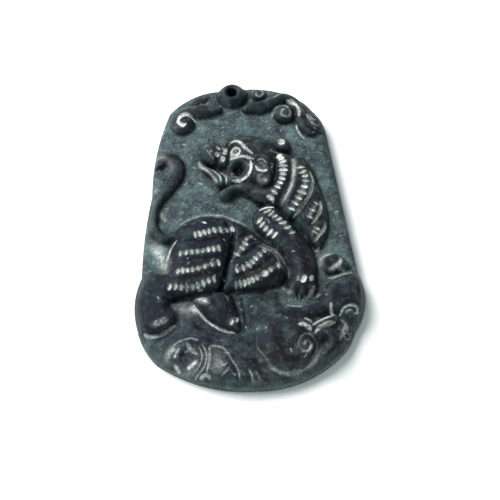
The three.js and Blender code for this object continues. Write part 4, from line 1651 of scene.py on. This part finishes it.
        # Polish gives a soft sheen, and the ground and the cuts scatter the light.
        by_polish = {"Value": polish, "To Min": self.ground_rough, "To Max": self.polish_rough}
        sheen = add_node(tree, "MapRange", by_polish, interpolation_type="SMOOTHSTEP")
        by_grain = {0: sheen, 1: self.uneven_rough.share(tree, coords)}
        uneven = add_node(tree, "Math", by_grain, operation="ADD")
        by_cut = {0: cut, 1: self.cut_rough, 2: uneven}
        rough = add_node(tree, "Math", by_cut, operation="MULTIPLY_ADD", use_clamp=True)

        # The grain stands out in the light, less where it is polished.
        grain, lumps = (
            add_node(tree, "TexNoise", pattern.noise(coords)) for pattern in (self.pits, self.patches)
        )
        by_figure = {"Value": figure, "To Min": 1.0, "To Max": self.tooth_polished}
        kept = add_node(tree, "MapRange", by_figure, interpolation_type="SMOOTHSTEP")
        tooth = add_node(tree, "Math", {0: grain, 1: kept, 2: lumps}, operation="MULTIPLY_ADD")
        bump = {"Strength": self.tooth, "Distance": self.tooth_depth * MM, "Height": tooth}

        finish = {
            "Base Color": colour,
            "Roughness": rough,
            "Normal": add_node(tree, "Bump", bump),
            "Specular IOR Level": self.reflection,
            "Specular Tint": linear(self.glint),
            "IOR": self.ior,
        }
        connect(tree, tree.nodes["Principled BSDF"], finish)
        return material


@dataclass
class Pendant:
    """The whole carving, cut from one piece of stone.

    Attributes:
        columns: The divisions across.
        rows: The divisions along.
        undercut: How deep the ground is cut beside the forms.
        undercut_reach: How far from them it is.
        foot_band: The heights over which a form counts as standing beside the ground.
        standing_band: The heights over which the ground ends and a form begins.
        beside_band: The nearness of forms over which the ground is cut deeper.
        rounding: How far the polish rounds the forms.
        polish_band: The heights that a form has to rise over which its polish sets in.
        rim_polish: The share of polish left along the edge, whose paler ground there is partly painted light
            on the rim.
        rim_band: How far in from the edge the polish becomes full.
        ripple: How uneven the wheel leaves the ground.
        ripple_polished: How much of that the polish takes off the forms.
        wave_count: How many waves the unevenness is made of.
        wave_lengths: The shortest and the longest of them.
        nicks: How many small nicks the stone has, each painted pale as a glint.
        worn_reach: How wide a ridge may be to be worn.
        worn_band: The heights over its surroundings at which it is worn.
        painted_shade_reach: How wide a hollow may be to take painted shade.
        painted_shade_band: The depths under its surroundings at which it does.
        smooth_angle: The sharpest edge that is shaded smooth, in degrees.
        blank: The plaque before it is carved.
        relief: The carving's fields.
        bead: The drilled bead.
        motifs: The carving's other figures, the lowest first.
        inset: How far in from the edge each place lies.
        marks: What is marked at each place.
    """

    columns: int = 244
    rows: int = 364
    undercut: float = 0.3
    undercut_reach: float = 0.8
    foot_band: Point = (0.1, 0.8)
    standing_band: Point = (0.12, 0.5)
    beside_band: Point = (0.0, 0.5)
    rounding: float = 0.16
    polish_band: Point = (0.03, 0.2)
    rim_polish: float = 0.5
    rim_band: Point = (0.1, 0.8)
    ripple: float = 0.06
    ripple_polished: float = 0.5
    wave_count: int = 24
    wave_lengths: Point = (1.5, 5.0)
    nicks: int = 80
    worn_reach: float = 0.7
    worn_band: Point = (0.05, 0.35)
    painted_shade_reach: float = 1.6
    painted_shade_band: Point = (0.12, 0.8)
    smooth_angle: float = 60.0
    blank: Blank = field(default_factory=Blank)
    relief: Relief = field(default_factory=Relief)
    bead: Bead = field(default_factory=Bead)
    motifs: tuple[Motif, ...] = field(
        default_factory=lambda: (Rocks(), CloudScrolls(), Tail(), ScrollHead(), Body(), Foreparts(), Head())
    )
    inset: np.ndarray = field(init=False, repr=False)
    marks: dict[Mark, np.ndarray] = field(init=False, repr=False)

    def carve(self) -> None:
        """Carves the relief: its forms, the ground between them, then the fine cuts."""
        relief, blank = self.relief, self.blank
        figures: tuple[Motif, ...] = (self.bead, *self.motifs)
        self.inset = blank.inset(relief)
        figure = np.zeros_like(relief.height)
        for motif in figures:
            before = relief.height.copy()
            motif.raise_forms(relief)
            raised = bounded(relief.height - before, *self.polish_band)
            figure += (motif.polish - figure) * raised
        limit = blank.relief_limit * (1 - np.exp(-np.maximum(self.inset, 0) / blank.relief_fade))
        relief.height = np.minimum(relief.height, limit)
        # The polish thins towards the edge, which also lightens the rim as painted light.
        figure *= self.rim_polish + (1 - self.rim_polish) * bounded(self.inset, *self.rim_band)
        standing = bounded(relief.height, *self.standing_band)
        beside = relief.soften(bounded(relief.height, *self.foot_band), self.undercut_reach) * (1 - standing)
        beside = bounded(beside, *self.beside_band)
        relief.height -= self.undercut * beside
        relief.height += self.ripple * (1 - self.ripple_polished * standing) * self.waves()
        relief.height = relief.soften(relief.height, self.rounding)
        for motif in figures:
            motif.cut_lines(relief)
        # Small nicks, each painted pale as a glint.
        relief.nick(self.nicks)
        relief.height = relief.soften(relief.height, relief.step)
        ridges = relief.height - relief.soften(relief.height, self.worn_reach)
        # Painted shade goes into the hollows: the deeper a place lies under its surroundings, the darker.
        hollows = relief.soften(relief.height, self.painted_shade_reach) - relief.height
        self.marks = {
            Mark.FIGURE: figure,
            Mark.CUT: relief.cut,
            Mark.WORN: bounded(ridges, *self.worn_band),
            Mark.PAINTED_SHADE: bounded(hollows, *self.painted_shade_band),
            # The ground beside the forms, greener and lighter, partly painted light against its shade.
            Mark.GREEN_AND_PAINTED_LIGHT: relief.soften(beside, self.undercut_reach),
        }

    def waves(self) -> np.ndarray:
        """Makes the wheel's shallow unevenness from waves that run every way.

        Returns:
            A field of about -1 to 1.
        """
        relief = self.relief
        total = np.zeros_like(relief.height)
        shortest, longest = self.wave_lengths
        for _ in range(self.wave_count):
            length, angle, phase = relief.draws.uniform((shortest, 0, 0), (longest, math.pi, 2 * math.pi))
            run = relief.across * math.cos(angle) + relief.along * math.sin(angle)
            total += np.cos(2 * math.pi * run / length + phase)
        return total / math.sqrt(self.wave_count)

    def build(self) -> bpy.types.Object:
        """Builds the carving's mesh.

        Returns:
            The piece.
        """
        bpy.ops.object.select_all(action="DESELECT")
        bpy.ops.mesh.primitive_grid_add(x_subdivisions=self.columns, y_subdivisions=self.rows, size=2)
        piece = bpy.context.object
        piece.name = piece.data.name = "carved_pendant"
        self.press_front(piece)
        self.close_back(piece)
        self.drill(piece)
        bpy.ops.object.shade_smooth_by_angle(angle=math.radians(self.smooth_angle))
        self.mark_finish(piece)
        return piece

    def press_front(self, piece: bpy.types.Object) -> None:
        """Lays the flat divisions out over the plaque and presses them to the carving.

        Args:
            piece: The carving's object.
        """
        blank, relief = self.blank, self.relief
        places = np.empty(3 * len(piece.data.vertices))
        piece.data.vertices.foreach_get("co", places)
        places = places.reshape(-1, 3)
        x, y = blank.plan(places[:, 0], places[:, 1]).T
        on_edge = np.max(np.abs(places[:, :2]), 1) > 1 - TINY
        inset = np.maximum(relief.sample(self.inset, x, y), 0)
        inset[on_edge] = 0
        rise = blank.ground(x, y) + relief.sample(relief.height, x, y) - blank.edge_height
        inward = np.minimum(inset / blank.edge_round, 1)
        z = blank.edge_height + rise * np.sqrt(1 - (1 - inward) ** 2)
        middle = blank.middle()
        finished = np.stack([x - middle[0], y - middle[1], z], -1) * MM
        piece.data.vertices.foreach_set("co", finished.ravel())
        piece.data.update()

    def close_back(self, piece: bpy.types.Object) -> None:
        """Rounds the edge off to the flat back and closes it.

        Args:
            piece: The carving's object.
        """
        blank = self.blank
        half = np.array(piece.dimensions[:2]) / MM / 2
        inward, height = 0.0, blank.edge_height
        bpy.ops.object.mode_set(mode="EDIT")
        bpy.ops.mesh.select_mode(type="EDGE")
        bpy.ops.mesh.select_all(action="DESELECT")
        bpy.ops.mesh.select_non_manifold()
        turns = [math.radians(90 * (k + 1) / blank.back_rings) for k in range(blank.back_rings)]
        steps = [
            (blank.back_round * (1 - math.cos(a)), blank.edge_height * (1 - math.sin(a))) for a in turns
        ]
        for next_inward, next_height in [*steps, (blank.back_round + blank.back_margin, 0.0)]:
            shift = {"value": (0, 0, (next_height - height) * MM)}
            bpy.ops.mesh.extrude_region_move(TRANSFORM_OT_translate=shift)
            scale = (half - next_inward) / (half - inward)
            bpy.ops.transform.resize(value=(*scale, 1), center_override=(0, 0, 0))
            inward, height = next_inward, next_height
        bpy.ops.mesh.edge_face_add()
        bpy.ops.mesh.select_all(action="SELECT")
        bpy.ops.mesh.normals_make_consistent(inside=False)
        bpy.ops.object.mode_set(mode="OBJECT")

    def drill(self, piece: bpy.types.Object) -> None:
        """Drills the cord hole through the bead.

        Args:
            piece: The carving's object.
        """
        rod = self.bead.cutter(self.blank.middle())
        bpy.ops.object.select_all(action="DESELECT")
        bpy.context.view_layer.objects.active = piece
        piece.select_set(True)
        hole = piece.modifiers.new("cord_hole", "BOOLEAN")
        hole.operation = "DIFFERENCE"
        hole.solver = "MANIFOLD"
        hole.object = rod
        bpy.ops.object.modifier_apply(modifier=hole.name)
        bpy.data.meshes.remove(rod.data)

    def mark_finish(self, piece: bpy.types.Object) -> None:
        """Marks the mesh for the stone's finish to read; the back and the sides are plain ground in the
        lighter green, partly painted light.

        Args:
            piece: The carving's object.
        """
        places = np.empty(3 * len(piece.data.vertices))
        piece.data.vertices.foreach_get("co", places)
        places = places.reshape(-1, 3) / MM
        middle = self.blank.middle()
        x, y = places[:, 0] + middle[0], places[:, 1] + middle[1]
        front = places[:, 2] > self.blank.edge_height
        for mark, values in self.marks.items():
            # The back and the sides take the lighter green in full, partly as painted light on the walls.
            behind = float(mark is Mark.GREEN_AND_PAINTED_LIGHT)
            attribute = piece.data.attributes.new(mark.value, "FLOAT", "POINT")
            attribute.data.foreach_set("value", np.where(front, self.relief.sample(values, x, y), behind))

    def dress(self, piece: bpy.types.Object, stone: bpy.types.Material) -> None:
        """Gives the piece its stone and ties it to the frame.

        Args:
            piece: The carving's object.
            stone: The stone's material.
        """
        piece.data.materials.clear()
        piece.data.materials.append(stone)
        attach(piece, "root")
        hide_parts(NODE)


@dataclass(frozen=True)
class WhitePaper:
    """Plain matt white paper, which takes soft shadows and shows no sheen.

    Attributes:
        colour: The paper's colour.
        roughness: How matt it is.
        reflection: The strength of its reflection.
    """

    colour: str = "#f6f7f6"
    roughness: float = 0.9
    reflection: float = 0.1

    def build(self) -> bpy.types.Material:
        """Builds the paper.

        Returns:
            The material.
        """
        # White paper gives an even, bright floor that the eye takes for the photo's plain background.
        paper = bpy.data.materials.new("white_paper")
        paper.use_nodes = True
        finish = {
            "Base Color": linear(self.colour),
            "Roughness": self.roughness,
            "Specular IOR Level": self.reflection,
        }
        connect(paper.node_tree, paper.node_tree.nodes["Principled BSDF"], finish)
        return paper


@dataclass(frozen=True)
class Lamp:
    """A square soft lamp that faces the pendant.

    Attributes:
        name: The lamp's name.
        azimuth: Where it stands around the pendant, in degrees.
        elevation: Its height over the horizon, in degrees.
        distance: Its distance, in metres.
        size: Its width, in metres.
        power: Its power, in watts.
    """

    name: str
    azimuth: float
    elevation: float
    distance: float
    size: float
    power: float


@dataclass
class Studio:
    """The plain floor, soft light and camera.

    Attributes:
        floor_size: The floor's width, in metres.
        room: The colour of the light that the room gives.
        room_strength: The strength of that light.
        lamps: A broad lamp from the upper left, and a weak one from low in front.
        aim: The point that the camera looks at, in millimetres.
        azimuth: The camera's turn about the pendant, in degrees.
        elevation: Its height over the horizon, in degrees.
        distance: Its distance, in millimetres.
        lens: Its focal length, in millimetres.
        nearest: The nearest that it sees, in metres.
    """

    floor_size: float = 4.0
    room: str = "#e0f1f2"
    room_strength: float = 0.4
    lamps: tuple[Lamp, ...] = (
        Lamp("window_light", -130.0, 46.0, 0.7, 0.5, 9.5),
        Lamp("table_light", -5.0, 12.0, 0.7, 0.6, 1.6),
    )
    aim: tuple[float, float, float] = (0.62, -3.87, 2.38)
    azimuth: float = -3.9
    elevation: float = 64.7
    distance: float = 300.0
    lens: float = 129.6
    nearest: float = 0.01

    def lay_floor(self) -> None:
        """Lays the plain pale floor."""
        bpy.ops.object.select_all(action="DESELECT")
        bpy.ops.mesh.primitive_plane_add(size=self.floor_size)
        floor = bpy.context.object
        floor.name = "floor"
        floor.data.materials.append(WhitePaper().build())

    def face(
        self, holder: bpy.types.Object, azimuth: float, elevation: float, distance: float, aim: Vector
    ) -> None:
        """Places a lamp or the camera around a point and turns it to face that point.

        Args:
            holder: The lamp's or the camera's object.
            azimuth: Where it stands around the point, in degrees.
            elevation: Its height over the horizon, in degrees.
            distance: Its distance, in metres.
            aim: The point.
        """
        a, e = math.radians(azimuth), math.radians(elevation)
        towards = Vector((math.sin(a) * math.cos(e), -math.cos(a) * math.cos(e), math.sin(e)))
        holder.location = aim + towards * distance
        holder.rotation_euler = towards.to_track_quat("Z", "Y").to_euler()
        bpy.context.collection.objects.link(holder)

    def light(self) -> None:
        """Sets the soft light: the lamps in an even pale room."""
        world = bpy.data.worlds.new("pale_room")
        world.use_nodes = True
        background = world.node_tree.nodes["Background"]
        connect(world.node_tree, background, {"Color": linear(self.room), "Strength": self.room_strength})
        bpy.context.scene.world = world
        bpy.context.scene.view_settings.view_transform = "Standard"
        for lamp in self.lamps:
            soft = bpy.data.lights.new(lamp.name, "AREA")
            soft.size = lamp.size
            soft.energy = lamp.power
            holder = bpy.data.objects.new(lamp.name, soft)
            self.face(holder, lamp.azimuth, lamp.elevation, lamp.distance, Vector())

    def place_camera(self) -> None:
        """Places the camera at the photograph's viewing angle."""
        camera = bpy.data.cameras.new("camera")
        camera.lens = self.lens
        camera.clip_start = self.nearest
        holder = bpy.data.objects.new("camera", camera)
        self.face(holder, self.azimuth, self.elevation, self.distance * MM, Vector(self.aim) * MM)
        bpy.context.scene.camera = holder


def main() -> None:
    """Builds the studio and the pendant."""
    logging.basicConfig(level=logging.INFO)
    studio = Studio()
    studio.lay_floor()
    studio.light()
    studio.place_camera()
    pendant = Pendant()
    pendant.carve()
    piece = pendant.build()
    pendant.dress(piece, BlackJade().build())
    LOG.info("%s: %d faces", piece.name, len(piece.data.polygons))


if __name__ == "__main__":
    main()
